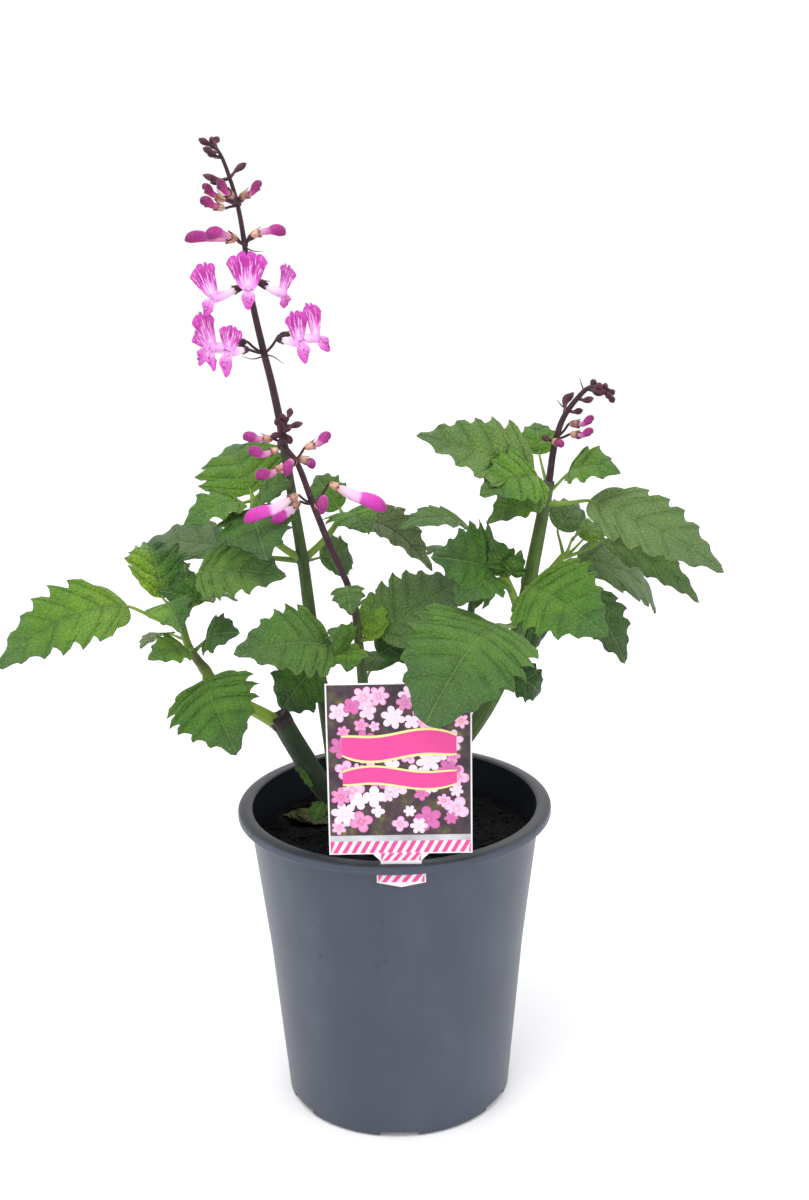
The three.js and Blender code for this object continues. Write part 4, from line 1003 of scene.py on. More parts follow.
# %% Leaves of the right stem from the soil up
RIGHT_LEAVES = [
    leaf((77, -6, 318), (63, -46, 331), (19, -120, 296), 74, arch=16, teeth=6, taper=0.85,
         face=(-0.07, -0.75, 0.65), tone=0.6, dull=0.1, crinkle=0.7, blunt=0.6, cut=0.8),
    leaf((78, -6, 316), (80, -2, 318), (94, 14, 300), 30, teeth=3, face=(0.2, -0.9, 0.3), tone=0.95),
    leaf((67, -8, 284), (74, -6, 287), (93, 8, 267), 24, teeth=3, face=(0.2, -0.9, 0.4), tone=0.95),
    leaf((70, -12, 350), (64, -14, 356), (25, -50, 374), 50, arch=5, teeth=5, face=(-0.1, -0.9, 0.4),
         tone=0.66, cut=1.2),
    leaf((70, -12, 350), (65, -20, 352), (38, -62, 348), 32, arch=4, face=(0, -0.6, 0.8), tone=0.62,
         crinkle=1.5),
    leaf((70, -12, 350), (71, -14, 354), (60, -24, 378), 20, teeth=3, arch=3, face=(0, -0.9, 0.3),
         tone=0.6, crinkle=2),
    leaf((70, -12, 350), (73, -16, 353), (79, -28, 371), 16, teeth=3, arch=3, face=(0, -0.9, 0.4),
         tone=0.5, crinkle=2),
    leaf((84, -5, 338), (82, -26, 348), (126, -68, 329), 58, arch=8, teeth=5, face=(0, -0.75, 0.65),
         tone=0.5, crinkle=0.8),
    leaf((102, 1, 354), (115, 0, 338), (142, -30, 300), 34, face=(0.3, -0.7, 0.6), tone=0.85, dull=0.2),
    leaf((104, 2, 354), (118, 26, 351), (173, 60, 304), 44, arch=12, face=(0.1, -0.55, 0.85),
         tone=0.6, dull=0.6),
    leaf((94, -4, 396), (88, -12, 412), (17, -34, 443), 50, arch=4, teeth=5, taper=0.6, fold=0.24,
         face=(0, -0.66, 0.75), tone=0.36, dull=0.4),
    leaf((94, -4, 398), (90, -16, 413), (53, -46, 410), 40, face=(0, -0.75, 0.65), tone=0.42, crinkle=1.9),
    leaf((94, -4, 396), (92, -14, 400), (58, -32, 389), 24, teeth=3, face=(0.1, -0.6, 0.8), tone=0.4),
    leaf((96, -4, 404), (92, 8, 422), (91, 28, 438), 24, teeth=3, arch=3, face=(0, -0.8, 0.5), tone=0.45),
    leaf((96, -4, 400), (108, -2, 412), (138, -20, 415), 30, teeth=3, arch=7, face=(0, -0.6, 0.8),
         tone=0.45, crinkle=1.6),
    leaf((94, -4, 394), (88, 8, 394), (67, 42, 382), 24, teeth=3, face=(0, 0.8, 0.6), tone=0.2),
    leaf((95, -4, 394), (121, -10, 397), (197, -46, 361), 42, arch=6, teeth=5, face=(0.1, -0.7, 0.7),
         tone=0.36, dull=0.6, crinkle=0.7),
    leaf((107, 2, 358), (133, 6, 368), (190, -8, 331), 26, arch=7, face=(0.2, -0.6, 0.75),
         tone=0.5, dull=0.3),
    leaf((107, 2, 358), (104, 12, 374), (118, 34, 386), 26, teeth=3, arch=3, face=(0.1, -0.8, 0.5),
         tone=0.6, dull=0.5),
    leaf((107, 2, 358), (112, 0, 370), (117, -10, 391), 16, teeth=3, arch=2, face=(0.8, -0.5, 0.2),
         tone=0.3, crinkle=1.5),
    leaf((107, 2, 358), (120, 16, 366), (134, 42, 369), 22, teeth=3, arch=3, tone=0.35, crinkle=1.5),
]

# %% Stems and petioles
STEMS = {
    "left": ([(-18, -5, 140), (-18, -5, 172), (-18, -5, 182), (-27, -6, 193), (-44, -8, 211),
              (-59, -10, 238), (-71, -12, 262)], (6.6, 7, 6.4)),
    "leftShoot": ([(-62, -11, 246), (-74, -12, 259), (-92, -16, 272), (-106, -20, 284), (-115, -24, 299),
                   (-123, -26, 313), (-126, -26, 325), (-129, -24, 341)], (5, 3.2, 1.8)),
    "main": ([(-34, 8, 140), (-34, 8, 160), (-34, 8, 180), (-38, 5, 215), (-44, 4, 270), (-49, 5, 307),
              (-54, 5, 358), (-59, 5, 397), (-65, 5, 445)], (4.4, 4.4, 4.2, 4, 3.8, 3.7, 3.3, 2.8, 2.4)),
    "mainLeft": ([(-54, 5, 358), (-72, 0, 374), (-82, -4, 399)], (2.4, 1.6)),
    "mainRight": ([(-54, 5, 358), (-40, 12, 370), (-29, 18, 384)], (2.4, 1.6)),
    "second": ([(-12, -22, 140), (-12, -22, 160), (-12, -22, 178), (-15, -22, 211), (-18, -24, 290),
                (-20, -25, 316), (-22, -26, 338), (-26, -26, 352)],
               (3.7, 3.6, 3.5, 3.4, 3.3, 3.1, 2.4, 1.9)),
    "mid": ([(22, 14, 140), (22, 14, 160), (22, 14, 178), (29, 12, 204), (40, 13, 263), (48, 14, 302),
             (51, 14, 328), (56, 14, 354), (57, 14, 374)], (3.6, 2.8, 1.8)),
    "right": ([(8, -6, 140), (8, -6, 160), (8, -6, 178), (23, -8, 216), (46, -9, 246), (60, -9, 268),
               (70, -8, 289), (79, -6, 316), (88, -4, 359), (97, -4, 408)], (5.2, 5.2, 4.9, 4.4, 3.3)),
    "rightShoot": ([(85, -5, 342), (97, -1, 349), (107, 2, 360)], (3, 2)),
    "rightFront": ([(80, -6, 322), (75, -10, 338), (69, -12, 353)], (2.8, 2)),
}
PETIOLE_ROWS = 14


def stem_end(name):
    """Where a stem's route ends, and the way it heads there."""
    last, end = np.array(STEMS[name][0][-2:], float)
    return end, unit(end - last)


def stem(name, redness, swellings=(), age=0.5):
    """A four-cornered stem with a ring of swelling at each node height, given as a fraction.
    Redness and age may each be one number or a row of numbers spread over its length; age also
    holds painted shade."""
    route, radii = STEMS[name]
    length = np.linalg.norm(np.diff(np.array(route), axis=0), axis=1).sum()
    count = max(14, int(length / 2.2))
    path = smooth_path(route, count)
    run = np.linspace(0, 1, count)
    radius = spread_radii(radii, count)
    for place in swellings:
        radius = radius * (1 + 0.22 * np.exp(-((run - place) * length / 3) ** 2))
    # old carries the age mark, which holds painted shade as well as age.
    red, old = (np.interp(run, np.linspace(0, 1, np.size(row)), np.ravel(row)) for row in (redness, age))
    return tube(path * MM, radius * MM, 24, ridge=0.05, red=red, age=old)


def petiole(form):
    """From inside the stem to the blade's base, with a hollow bend, on into the midrib."""
    along, _, up, length = blade_axes(form["base"], form["tip"], form["face"])
    base = np.array(form["base"], float)
    inside = base + along * length * 0.1 + up * (form["arch"] * 0.3 - 0.6)
    start = np.array(form["start"], float)
    middle = (start + base) / 2 + np.array([0, 0, -0.03]) * np.linalg.norm(base - start)
    path = smooth_path([start, middle, base - up * 0.5, inside], PETIOLE_ROWS)
    radii = (2.1, 1.25, 0.6) if form["width"] > 40 else (1.4, 0.9, 0.6)
    radius = spread_radii(radii, PETIOLE_ROWS)
    return tube(path * MM, radius * MM, 10, red=0.2 * form["tone"], age=0.1 + 0.4 * form["tone"])


def hairs(roots, ways, lengths, thick=0.09, **marks):
    """Fine hairs: three-sided cones from each root along its way, all in one patch."""
    ways = unit(ways)
    first = unit(np.cross(ways, [0.31, 0.52, 0.79]))
    second = np.cross(ways, first)
    ring = circle(np.array([0, 2.1, 4.2]), first[:, None], second[:, None])
    feet = roots[:, None] - 0.2 * ways[:, None] + thick * ring
    tips = np.repeat((roots + ways * lengths[:, None])[:, None], 3, 1)
    points = np.stack([feet, tips], axis=1).reshape(-1, 3)
    start = 6 * np.arange(len(roots))[:, None, None]
    side = np.array([[0, 1, 4, 3], [1, 2, 5, 4], [2, 0, 3, 5]])
    spread = {name: np.full(len(points), float(value)) for name, value in marks.items()}
    return {"points": points * MM, "quads": (start + side).reshape(-1, 4),
            "uv": np.zeros((len(points), 2)), "marks": spread}


def hairs_along(path, radius, count, low, high, rng, **marks):
    """Hairs that stand on a stalk at random places, leaning a little towards its tip."""
    first, second = tube_axes(path)
    spot = rng.integers(0, len(path) - 1, count)
    share = rng.uniform(0, 1, (count, 1))
    out = circle(rng.uniform(0, 2 * np.pi, count), first[spot], second[spot])
    centre = path[spot] * (1 - share) + path[spot + 1] * share
    thick = np.broadcast_to(radius, (len(path),))[spot][:, None]
    lean = unit(path[spot + 1] - path[spot]) * 0.25
    return hairs(centre + out * thick * 0.96, out + lean, rng.uniform(low, high, count), **marks)


# %% [markdown]
# Young stems are green and four-cornered, old ones woody and brown, and light turns some purple.
# Stems that stand in shade under the leaves are painted a darker green, nearly black, as painted
# shade. Long streaks run up them. The blade's colour goes from yellow-green to deep green with age
# and towards its tip, and is darker still on leaves in shade, as painted shade. The veins are pale
# lines with the relief of a quilt, and painted shade darkens the grooves beside them and the net of
# hollows between them. A dark thin line follows the margin and darkens the tips of its teeth. The
# lower face is a paler, duller green with a darker net of veins.

# %% Finishes of stems and leaves
def stem_finish():
    finish = Finish("green_stem", Specular_IOR_Level=0.35, Sheen_Weight=0.12)
    flat, place = finish.place("UV"), finish.place()
    streak = finish.noise(finish.stretched(flat, (0.9, 0.05, 1.0)), 1.0, 4, 0.6)
    blotch = finish.noise(place, 70, 3, 0.6)
    age = finish.mark("age")
    # Age near 1 gives a nearly black green: painted shade on stems that stand under the leaves.
    green = (age + (blotch - 0.5) * 0.3).ramp([
        (0.0, (140, 168, 58)), (0.3, (112, 142, 48)), (0.5, (84, 114, 42)),
        (0.75, (38, 64, 28)), (1.0, (13, 26, 15))])
    green = green.coats((streak.rise(0.48, 0.72) * (1.0 - age) * 0.5, (152, 172, 84)),
                        (streak.fall(0.3, 0.5) * 0.45, (30, 46, 22)))
    bark = (streak * 0.5 + blotch * 0.5).ramp([
        (0.3, (34, 24, 28)), (0.52, (62, 44, 48)), (0.75, (100, 82, 70))])
    redness = (finish.mark("red") + (blotch - 0.5) * 0.7).rise(0.3, 0.8)
    torn = finish.mark("torn").rise(0.3, 0.7)
    finish.wear(Base_Color=green.coats((redness, bark), (torn, (42, 24, 34))),
                Roughness=0.5 + 0.2 * streak + 0.2 * torn)
    finish.bump(streak * 0.7 + blotch * 0.3, 0.0004, 0.6)
    return finish.material


def leaf_finish():
    finish = Finish("leaf", Specular_IOR_Level=0.32, Sheen_Weight=0.05)
    flat, place = finish.place("UV"), finish.place()
    tone, dull, under, along = (finish.mark(name) for name in ("tone", "dull", "under", "along"))
    rib, vein, edge, thorn = (finish.mark(name) for name in ("rib", "vein", "edge", "thorn"))
    broad = finish.noise(place, 30, 4, 0.6)
    fine = finish.noise(flat, 0.9, 3, 0.6)
    mottle = finish.noise(flat, 0.09, 3, 0.6)
    net = finish.cells(flat, 0.34, "DISTANCE_TO_EDGE", flat=True)
    small_net = finish.cells(flat, 0.95, "DISTANCE_TO_EDGE", flat=True)
    # On the upper face netted darkens the net of hollows as painted shade; on the lower face it is the dark
    # net of veins.
    net_shade_and_veins = net.fall(0.0, 0.12)
    # This is the leaf's tone with noise, so it holds painted shade as well as age.
    age = tone + (broad - 0.5) * 0.3 + (mottle - 0.5) * 0.5 + (along - 0.5) * 0.3
    # grooves darken the blade beside the sunken veins and the midrib: painted shade in the creases.
    groove_shade = (vein.fall(0.3, 2.2) * 0.3 + rib.fall(0.6, 3.0) * 0.25) * mottle.rise(0.3, 0.65)
    ribs, veins = rib.fall(0.2, 0.65), vein.fall(0.1, 0.42)
    # The dull mark lays a painted sheen, a grey green, over leaves seen against the light.
    green = age.ramp([(0.05, (138, 178, 46)), (0.3, (111, 158, 42)), (0.55, (85, 134, 38)),
                      (0.8, (58, 103, 31)), (1.0, (36, 73, 25))]).coats(
        (along.rise(0.5, 1.0) * 0.4, (78, 106, 76)), (dull, (112, 132, 92)),
        (fine.rise(0.5, 0.7) * 0.14, (150, 182, 100)), (fine.fall(0.34, 0.5) * 0.2, (36, 64, 26)),
        (groove_shade, (38, 74, 28)), (net_shade_and_veins * 0.2, (40, 70, 26)),
        (ribs * 0.4, (138, 170, 92)), (veins * 0.26, (126, 160, 82)))
    dark_net = small_net.fall(0.0, 0.1) * 0.25 + net_shade_and_veins * 0.35
    dark_net = dark_net + rib.fall(0.3, 0.9) * 0.4 + vein.fall(0.15, 0.6) * 0.4
    back = (broad * 0.5 + fine * 0.5).ramp([(0.32, (112, 136, 82)), (0.7, (164, 184, 124))])
    look = green.coats((under, dark_net.blend(back, (60, 74, 46))),
                       (edge.fall(0.08, 0.38) * 0.75, (48, 44, 32)),
                       (thorn.fall(0.4, 1.4) * 0.85, (64, 36, 50)))
    finish.wear(Base_Color=look, Roughness=0.42 + 0.25 * fine + 0.1 * under)
    relief = net.rise(0.0, 0.32) * 0.5 + small_net.rise(0.0, 0.28) * 0.25 + fine * 0.35
    finish.bump(relief - ribs * 0.3 - veins * 0.4, 0.0018, 0.9)
    return finish.material


# %% Leafy stems
def leafy_stem(name, stems, leaves, seed, extras=()):
    """Two pieces that stand for one node of the frame: all blades, and the stems with petioles."""
    rng = np.random.default_rng(seed)
    blades = [leaf_blade(form, rng) for form in leaves]
    piece(f"{name}_leaves", blades, leaf_look, [name])
    petioles = [petiole(form) for form in leaves]
    piece(f"{name}_axis", [*stems, *petioles, *extras], stem_look, [name])


STUB_SIDES = 36
SPLINTERS = 14


def cut_stub():
    """The torn end of the old stem: a ragged plug over the cut, with splinters round it."""
    rng = np.random.default_rng(3)
    end, way = stem_end("left")
    first, second = straight_axes(end, way)
    turn = full_turn(STUB_SIDES)
    rough = 1 + 0.08 * np.sin(5 * turn) + 0.05 * np.sin(11 * turn + 1)
    rows = [(-6.0, 6.7, 0), (-2.5, 7.0, 0.02), (-0.6, 7.1, 0.5), (1.4, 6.2, 1), (1.0, 4.2, 1),
            (0.2, 2.2, 1), (0.6, 0.9, 1), (0.8, 0, 1)]
    points = np.array([end + way * (lift + 0.5 * rag * rough[:, None])
                       + reach * rough[:, None] * circle(turn, first, second)
                       for lift, reach, rag in rows])
    points[-1] = points[-1].mean(0)
    closed = np.concatenate([np.repeat((end - way * 6)[None, None], STUB_SIDES, 1), points])
    torn = np.array([0, 0, 0.4, 0.9, 1, 1, 1, 1, 1])[:, None]
    plug = patch(closed * MM, around=True, red=0.9, torn=torn, age=0.9,
                 uv=(turn[None] * 6.0, closed[..., 2]))
    roots = end + 6.2 * circle(rng.uniform(0, 2 * np.pi, SPLINTERS), first, second)
    ways = way + 0.2 * rng.normal(size=(SPLINTERS, 3))
    splinters = hairs(roots, ways, rng.uniform(1.2, 3.2, SPLINTERS), 0.5, red=1.0, torn=1.0, age=0.9)
    return [plug, splinters]


leaf_look = leaf_finish()
stem_look = stem_finish()
fuzz = np.random.default_rng(11)
shoot_path = smooth_path(STEMS["leftShoot"][0], 80)
# The old stem's age near 1 paints it nearly black, as painted shade under the leaves.
leafy_stem("stem_left", [stem("left", (0.2, 0.0, 0.0, 0.0, 0.2), age=(1.0, 1.0, 0.95, 0.85)),
                         stem("leftShoot", (0.5, 0.1, 0.05, 0.3, 0.6, 0.2, 0.1), (0.62,),
                              age=(0.5, 0.1, 0.1, 0.3, 0.4, 0.2))],
           LEFT_LEAVES, 21,
           [*cut_stub(),
            hairs_along(shoot_path[36:60], 3.0, 160, 0.6, 1.5, fuzz, red=0.2, age=0.2)])
leafy_stem("stem_main", [stem("main", (0.5, 0.25, 0.1, 0.1, 0.35, 0.85), (0.44, 0.72),
                              age=(0.85, 0.72, 0.68, 0.72)),
                         stem("mainLeft", 0.2, age=0.3), stem("mainRight", 0.3, age=0.3)],
           MAIN_LEAVES, 22)
leafy_stem("stem_second", [stem("second", (0.5, 0.35, 0.2, 0.4, 0.85), (0.85,), age=(0.85, 0.7, 0.6))],
           SECOND_LEAVES, 23)
leafy_stem("stem_mid", [stem("mid", (0.5, 0.3, 0.2), (0.9,), age=(0.8, 0.7))], MID_LEAVES, 24)
leafy_stem("stem_right", [stem("right", (0.5, 0.3, 0.1, 0.15, 0.6), (0.62, 0.78), age=(0.88, 0.64, 0.56)),
                          stem("rightShoot", 0.2, age=0.2), stem("rightFront", 0.2, age=0.2)],
           RIGHT_LEAVES, 25)

# %% [markdown]
# The withered leaf on the soil has dried to a thin olive-brown shell: its rim curls up and its
# face is crumpled by short waves.

# %% Withered leaf
FALLEN = {"x": -58, "y": 24, "length": 36, "width": 19, "turn": -0.5, "rest": 0.9}


def make_fallen_leaf(finish):
    """A rounded blade laid on the soil's low waves. Its sides curl up, and short waves crumple it."""
    t, across = strip_grid(60, 25)
    wide = FALLEN["width"] / 2 * (0.12 + 0.88 * np.sin(np.pi * t) ** 0.7) * (1 + 0.06 * np.sin(26 * t))
    u = FALLEN["length"] * (t - 0.5)
    v = across * wide
    cos_t, sin_t = np.cos(FALLEN["turn"]), np.sin(FALLEN["turn"])
    x = FALLEN["x"] + u * cos_t - v * sin_t
    y = FALLEN["y"] + u * sin_t + v * cos_t
    curl = 3.5 * across ** 2 * np.sin(np.pi * t) + 1.5 * t ** 3
    crumple = 0.5 * np.sin(u / 1.6 + across * 2) * np.sin(v / 1.3 + 1) \
        + 0.3 * np.sin(u / 0.9) * np.cos(v / 1.1)
    level = SOIL_LEVEL / MM + low_waves(x, y)
    top = np.stack([x, y, level + FALLEN["rest"] + curl + crumple], axis=-1)
    thick = LEAF_THICKNESS * (1 - across ** 8) * np.clip(np.sin(np.pi * t) * 8, 0, 1)
    low = top - np.array([0, 0, 1]) * thick[..., None]
    loop = np.concatenate([top, low[:, ::-1]], axis=1) * MM
    blade = patch(loop, around=True, uv=(mirrored(v), mirrored(u)))
    piece("withered_leaf", [blade], finish, ["fallen_leaf"])


def withered_finish():
    finish = Finish("withered_leaf", Specular_IOR_Level=0.3)
    flat = finish.place("UV")
    blotch = finish.noise(flat, 0.16, 4, 0.6)
    net = finish.cells(flat, 0.5, "DISTANCE_TO_EDGE", flat=True)
    base = blotch.ramp([(0.3, (48, 44, 28)), (0.5, (80, 84, 40)), (0.72, (120, 122, 70))])
    finish.wear(Base_Color=(net.fall(0.0, 0.08) * 0.5).blend(base, (52, 36, 30)),
                Roughness=0.6 + 0.3 * blotch)
    finish.bump(net.rise(0.0, 0.3), 0.0006, 0.7)
    return finish.material


make_fallen_leaf(withered_finish())

# %% [markdown]
# The flowers stand in whorls on a dark, hairy axis. Each place below is in millimetres, and each
# whorl starts with its node on the axis. An open flower has the mouth of its calyx, the throat of
# its tube, the top of its upper lip, the tip of its lower lip and the span of the upper lip. A
# closed bud has the mouth of its calyx, its bend, its end and the radius of its hood, and a small
# bud its foot and its tip.

# %% Places of flowers and buds
BLOOMS = {
    "main": [
        ((-73, 5, 486), [
            ((-84, -10, 491), (-92, -22, 492), (-89, -25, 505), (-93, -30, 479), 15),
            ((-87, -2, 494), (-103, -6, 492), (-108, -9, 511), (-102, -14, 480), 17),
            ((-88, 8, 489), (-107, 10, 490), (-114, 13, 499), (-113, 8, 480), 14),
            ((-61, -6, 496), (-50, -15, 496), (-52, -20, 512), (-47, -22, 485), 14),
            ((-59, 4, 497), (-41, 6, 495), (-44, 7, 514), (-34, 4, 488), 13)]),
        ((-80, 5, 524), [
            ((-88, 0, 525), (-101, -8, 521), (-107, -8, 539), (-105, -14, 512), 19),
            ((-81, -6, 526), (-79, -17, 526), (-79, -21, 546), (-79, -25, 517), 24),
            ((-72, 8, 527), (-61, 12, 521), (-57, 15, 536), (-60, 10, 513), 14)]),
    ],
}

BUDS = {
    "main": [
        ((-82, 4, 550), [
            ((-91, 1, 554), (-104, 0, 555), (-116, -3, 555), 3.6),
            ((-89, -5, 556), (-95, -11, 558), (-102, -15, 557), 3.8),
            ((-74, 4, 557), (-69, 4, 558), (-58, 4, 557), 3.6)]),
        ((-85, 3, 573), [
            ((-96, -3, 573), (-99, -5, 574), (-105, -8, 576), 3.4),
            ((-96, 4, 578), (-100, 4, 580), (-105, 3, 584), 3.2),
            ((-89, -5, 580), (-91, -8, 582), (-95, -11, 587), 3.2),
            ((-80, 5, 579), (-77, 6, 580), (-71, 7, 585), 3.2)]),
    ],
    "second": [
        ((-45, -26, 401), [
            ((-57, -36, 407), (-70, -43, 401), (-84, -48, 397.5), 4.1),
            ((-56, -27, 400), (-61, -30, 396), (-68, -33, 391), 4.1),
            ((-41, -35, 403), (-38, -41, 407), (-39, -47, 401), 3.4),
            ((-31, -24, 411), (-15, -26, 403), (-2, -28, 398), 4.6)]),
        ((-54, -24, 426), [
            ((-65, -30, 423), (-69, -32, 421), (-77, -36, 420), 3.6),
            ((-56, -33, 428), (-57, -37, 429), (-59, -43, 423), 3.2),
            ((-50, -17, 426), (-48, -16, 425), (-45, -14, 421), 3)]),
        ((-62, -22, 438), [
            ((-72, -22, 440), (-77, -22, 440), (-85, -22, 441), 3.4),
            ((-68, -31, 434), (-73, -34, 433), (-81, -38, 436), 3.4)]),
        ((-55, -24, 427), [((-45, -19, 435), (-41, -18, 436), (-34, -16, 440), 3.6)]),
    ],
    "right": [
        ((101, -4, 434), [((113, -6, 443), (117, -7, 443), (123, -9, 447), 2.6)]),
        ((100, -4, 433), [((113, -9, 437), (116, -11, 437), (122, -14, 440), 2.6)]),
        ((99, -4, 432), [((101, -12, 433), (102, -14, 433), (103, -18, 432), 2.4)]),
    ],
}

SMALL_BUDS = {
    "main": [
        ((-82, 4, 550), [((-80, 8, 553), (-75, 11, 557))]),
        ((-85, 3, 573), [((-88, -2, 576), (-91, -4, 579)), ((-83, 6, 576), (-82, 8, 580))]),
        ((-89, 2, 589), [
            ((-95, 0, 588), (-104, -3, 591)), ((-95, 5, 587), (-101, 7, 586)),
            ((-85, 3, 593), (-79, 4, 597))]),
        ((-93, 0, 601), [((-95, -1, 601), (-101, -4, 604))]),
        ((-95, -1, 604), [((-98, -3, 604), (-103, -5, 606))]),
        ((-96, -2, 606), [
            ((-100, 0, 608), (-106, 2, 611)), ((-97, 1, 608), (-99, 4, 612)),
            ((-96, -1, 609), (-94, 0, 612))]),
    ],
    "second": [
        ((-61, -20, 444), [
            ((-58, -18, 446), (-50, -16, 448)), ((-62, -26, 446), (-62, -30, 452)),
            ((-64, -24, 443), (-69, -27, 442))]),
        ((-61, -20, 446), [((-60, -15, 444), (-58, -10, 446))]),
        ((-60, -19, 450), [((-58, -17, 453), (-57, -15, 457))]),
        ((-61, -20, 446), [((-63, -22, 448), (-66, -24, 452))]),
        ((-61, -20, 447), [((-61, -21, 450), (-62, -22, 455))]),
        ((-61, -22, 442), [((-62, -26, 440), (-64, -30, 437))]),
        ((-60, -20, 442), [((-58, -25, 441), (-57, -29, 438))]),
    ],
    "right": [
        ((99, -4, 433), [((96, -7, 434), (92, -11, 437))]),
        ((106, -5, 450), [((107, -3, 456), (111.5, -2, 461.5)), ((106, -3, 456), (108.5, -3, 461))]),
        ((108, -5, 451), [((112, -4, 450), (117, -4, 451))]),
        ((114, -6, 459), [((117, -11, 458), (122, -15, 460))]),
        ((120, -8, 465), [((122, -13, 464), (127, -17, 462)), ((122, -6, 467), (124, -4, 469))]),
        ((126, -10, 465), [((129, -8, 464), (133, -6, 461))]),
        ((130, -11, 462), [((132, -13, 460), (134, -15, 457))]),
        ((122, -9, 465), [((124, -12, 466), (127, -15, 467))]),
        ((124, -10, 465), [((126, -13, 464), (129, -16, 463))]),
        ((126, -10, 465), [((128, -10, 466), (131, -10, 466))]),
        ((128, -11, 464), [((130, -14, 462), (132, -17, 460))]),
        ((124, -9, 466), [((125, -6, 466), (128, -4, 465))]),
        ((129, -11, 463), [((132, -10, 463), (135, -9, 461))]),
    ],
}

SPIKES = {
    "main": ([(-69.5, 5, 470), (-73, 5, 486), (-80, 5, 524), (-82, 4, 550), (-85, 3, 573), (-89, 2, 589),
              (-93, 0, 601), (-97, -2, 608)], (2.3, 2, 1.7, 1.3, 0.9)),
    "second": ([(-36, -26, 376), (-45, -26, 401), (-54, -24, 426), (-62, -22, 438), (-61, -20, 446),
                (-59, -18, 452)], (1.9, 1.9, 1.7, 1)),
    "right": ([(99, -4, 424), (101, -4, 434), (105, -4, 446), (112, -6, 457), (120, -8, 465),
               (126, -10, 465), (132, -12, 459)], (2.1, 1.8, 1.5, 1.0)),
}
CALYX_LENGTH = 4.5
BLOOM_TURN = 1.2
BUD_ROWS = 40
BUD_SIDES = 24
SMALL_BUD_ROWS = 22
AXIS_ROWS = 120
AXIS_HAIRS = 520

BRACTS = {"main": [[(-73, 4, 486), (-67, 0, 485), (-61, -2, 481)],
                   [(-82, 3, 549), (-76, 0, 547), (-71, -1, 547)],
                   [(-73, 4, 485), (-80, 0, 484), (-86, -2, 486)]],
          "right": [[(106, -4, 452), (103.5, -4, 454.5), (101, -4, 457.5)],
                    [(117, -6, 463), (115.5, -5, 467), (114.5, -4, 470.5)]]}


def flowers(table, spike):
    """All flowers or buds of one axis in order, each as its node and its own places."""
    return [(node, *places) for node, group in table.get(spike, ()) for places in group]


# %% [markdown]
# A corolla is a tube that swells towards its mouth, an upper lip that fans out in four lobes, and
# a boat-shaped lower lip. The lips are thin, so each is one closed sheet: its outer face, then its
# inner face a fraction of a millimetre behind, meeting at the rim.

# %% Open flowers
def sheet(face, up, thick):
    """Closes a grid of points to a thin sheet by a second face behind it."""
    t, a = strip_grid(*face.shape[:2])
    depth = thick * (1 - a ** 8) * (1 - t ** 8) * np.minimum(1, t * 12)
    rear = face - depth[..., None] * up
    return np.concatenate([face, rear[:, ::-1]], axis=1)


def petal(face, up, thick, flat, t, a, **marks):
    """A thin sheet with its UV and with the marks that the colours of petals follow."""
    return patch(sheet(face, up, thick) * MM, around=True, uv=[mirrored(part) for part in flat],
                 reach=mirrored(t), fan=mirrored(a), **marks)


def upper_lip(base, tip, way, span, rng):
    """Fan of four lobes: base + along 1.12 L t f + side a (1.3 + (span/2 - 1.3) t) + up h, where
    f falls towards the sides and dips at the three notches, and h cups the fan and waves its rim."""
    along, side, up, length = blade_axes(base, tip, way)
    t, a = strip_grid(26, 65)
    scallop = np.abs(np.sin(2 * np.pi * a)) ** 0.45
    lobes = np.sqrt(1 - 0.4 * a ** 2) * (1 - (0.07 + 0.07 * np.exp(-(a / 0.2) ** 2)) * (1 - scallop))
    out = a * (1.3 + (span / 2 - 1.3) * t ** 0.48)
    phase = rng.uniform(0, 2 * np.pi, 3)
    lift = span / 7 * t * a ** 2 - 0.10 * length * t ** 2.4
    lift = lift + 0.045 * span * t ** 3 * np.sin(8 * a + phase[0]) - 0.05 * length * t ** 6 * scallop
    lift = lift + 0.5 * (1 - np.abs(a)) * (1 - t)
    face = base + (1.12 * length * t * (1 - (1 - lobes) * t ** 2))[..., None] * along \
        + out[..., None] * side + lift[..., None] * up
    return petal(face, up, 0.3, (out, length * t), t, a, part=1.0, seed=phase[2])


def lower_lip(base, tip, way, width, rng):
    """A boat: its half width is a sine arch, its sides lift, and its tip rolls under."""
    along, side, up, length = blade_axes(base, tip, way)
    t, a = strip_grid(24, 25)
    wide = width / 2 * (0.3 + 0.7 * np.sin(np.pi * (0.06 + 0.7 * t)) ** 0.8)
    round_end = 1 - 0.4 * t ** 2 * a ** 2
    lift = 0.36 * width * a ** 2 * np.sin(np.pi * np.clip(t * 0.8 + 0.1, 0, 1)) - 1.0 * t ** 4
    lift = lift + 0.15 * np.sin(6 * a + rng.uniform(0, 6)) * t
    face = base + (length * 1.04 * t * round_end)[..., None] * along + (wide * a)[..., None] * side \
        + lift[..., None] * up
    return petal(face, up, 0.35, (wide * a, length * t), t, a, part=2.0)


def corolla_tube(neck, throat):
    """Outer wall from the calyx to the mouth, then the inner wall back down to its blind end."""
    way = unit(throat - neck)
    length = np.linalg.norm(throat - neck) + 1.2
    t = np.concatenate([[0], np.linspace(0, 1, 14), np.linspace(0.99, 0.4, 6), [0.4]])
    outer = np.interp(t[1:15], [0, 0.2, 0.5, 0.75, 0.95, 1], [1.5, 2.1, 2.8, 3.0, 2.7, 2.9])
    radius = np.concatenate([[0], outer, np.linspace(2.6, 2.0, 6), [0]])
    turn = full_turn(24)
    sag = -0.5 * np.sin(np.pi * t)[:, None, None] * np.array([0, 0, 1])
    points = (neck + way * (t * length)[:, None])[:, None] + sag \
        + radius[:, None, None] * circle(turn, *straight_axes(neck, way))
    return patch(points * MM, around=True, uv=(3 * turn[None, :], t[:, None] * length),
                 part=0.0, reach=t[:, None])


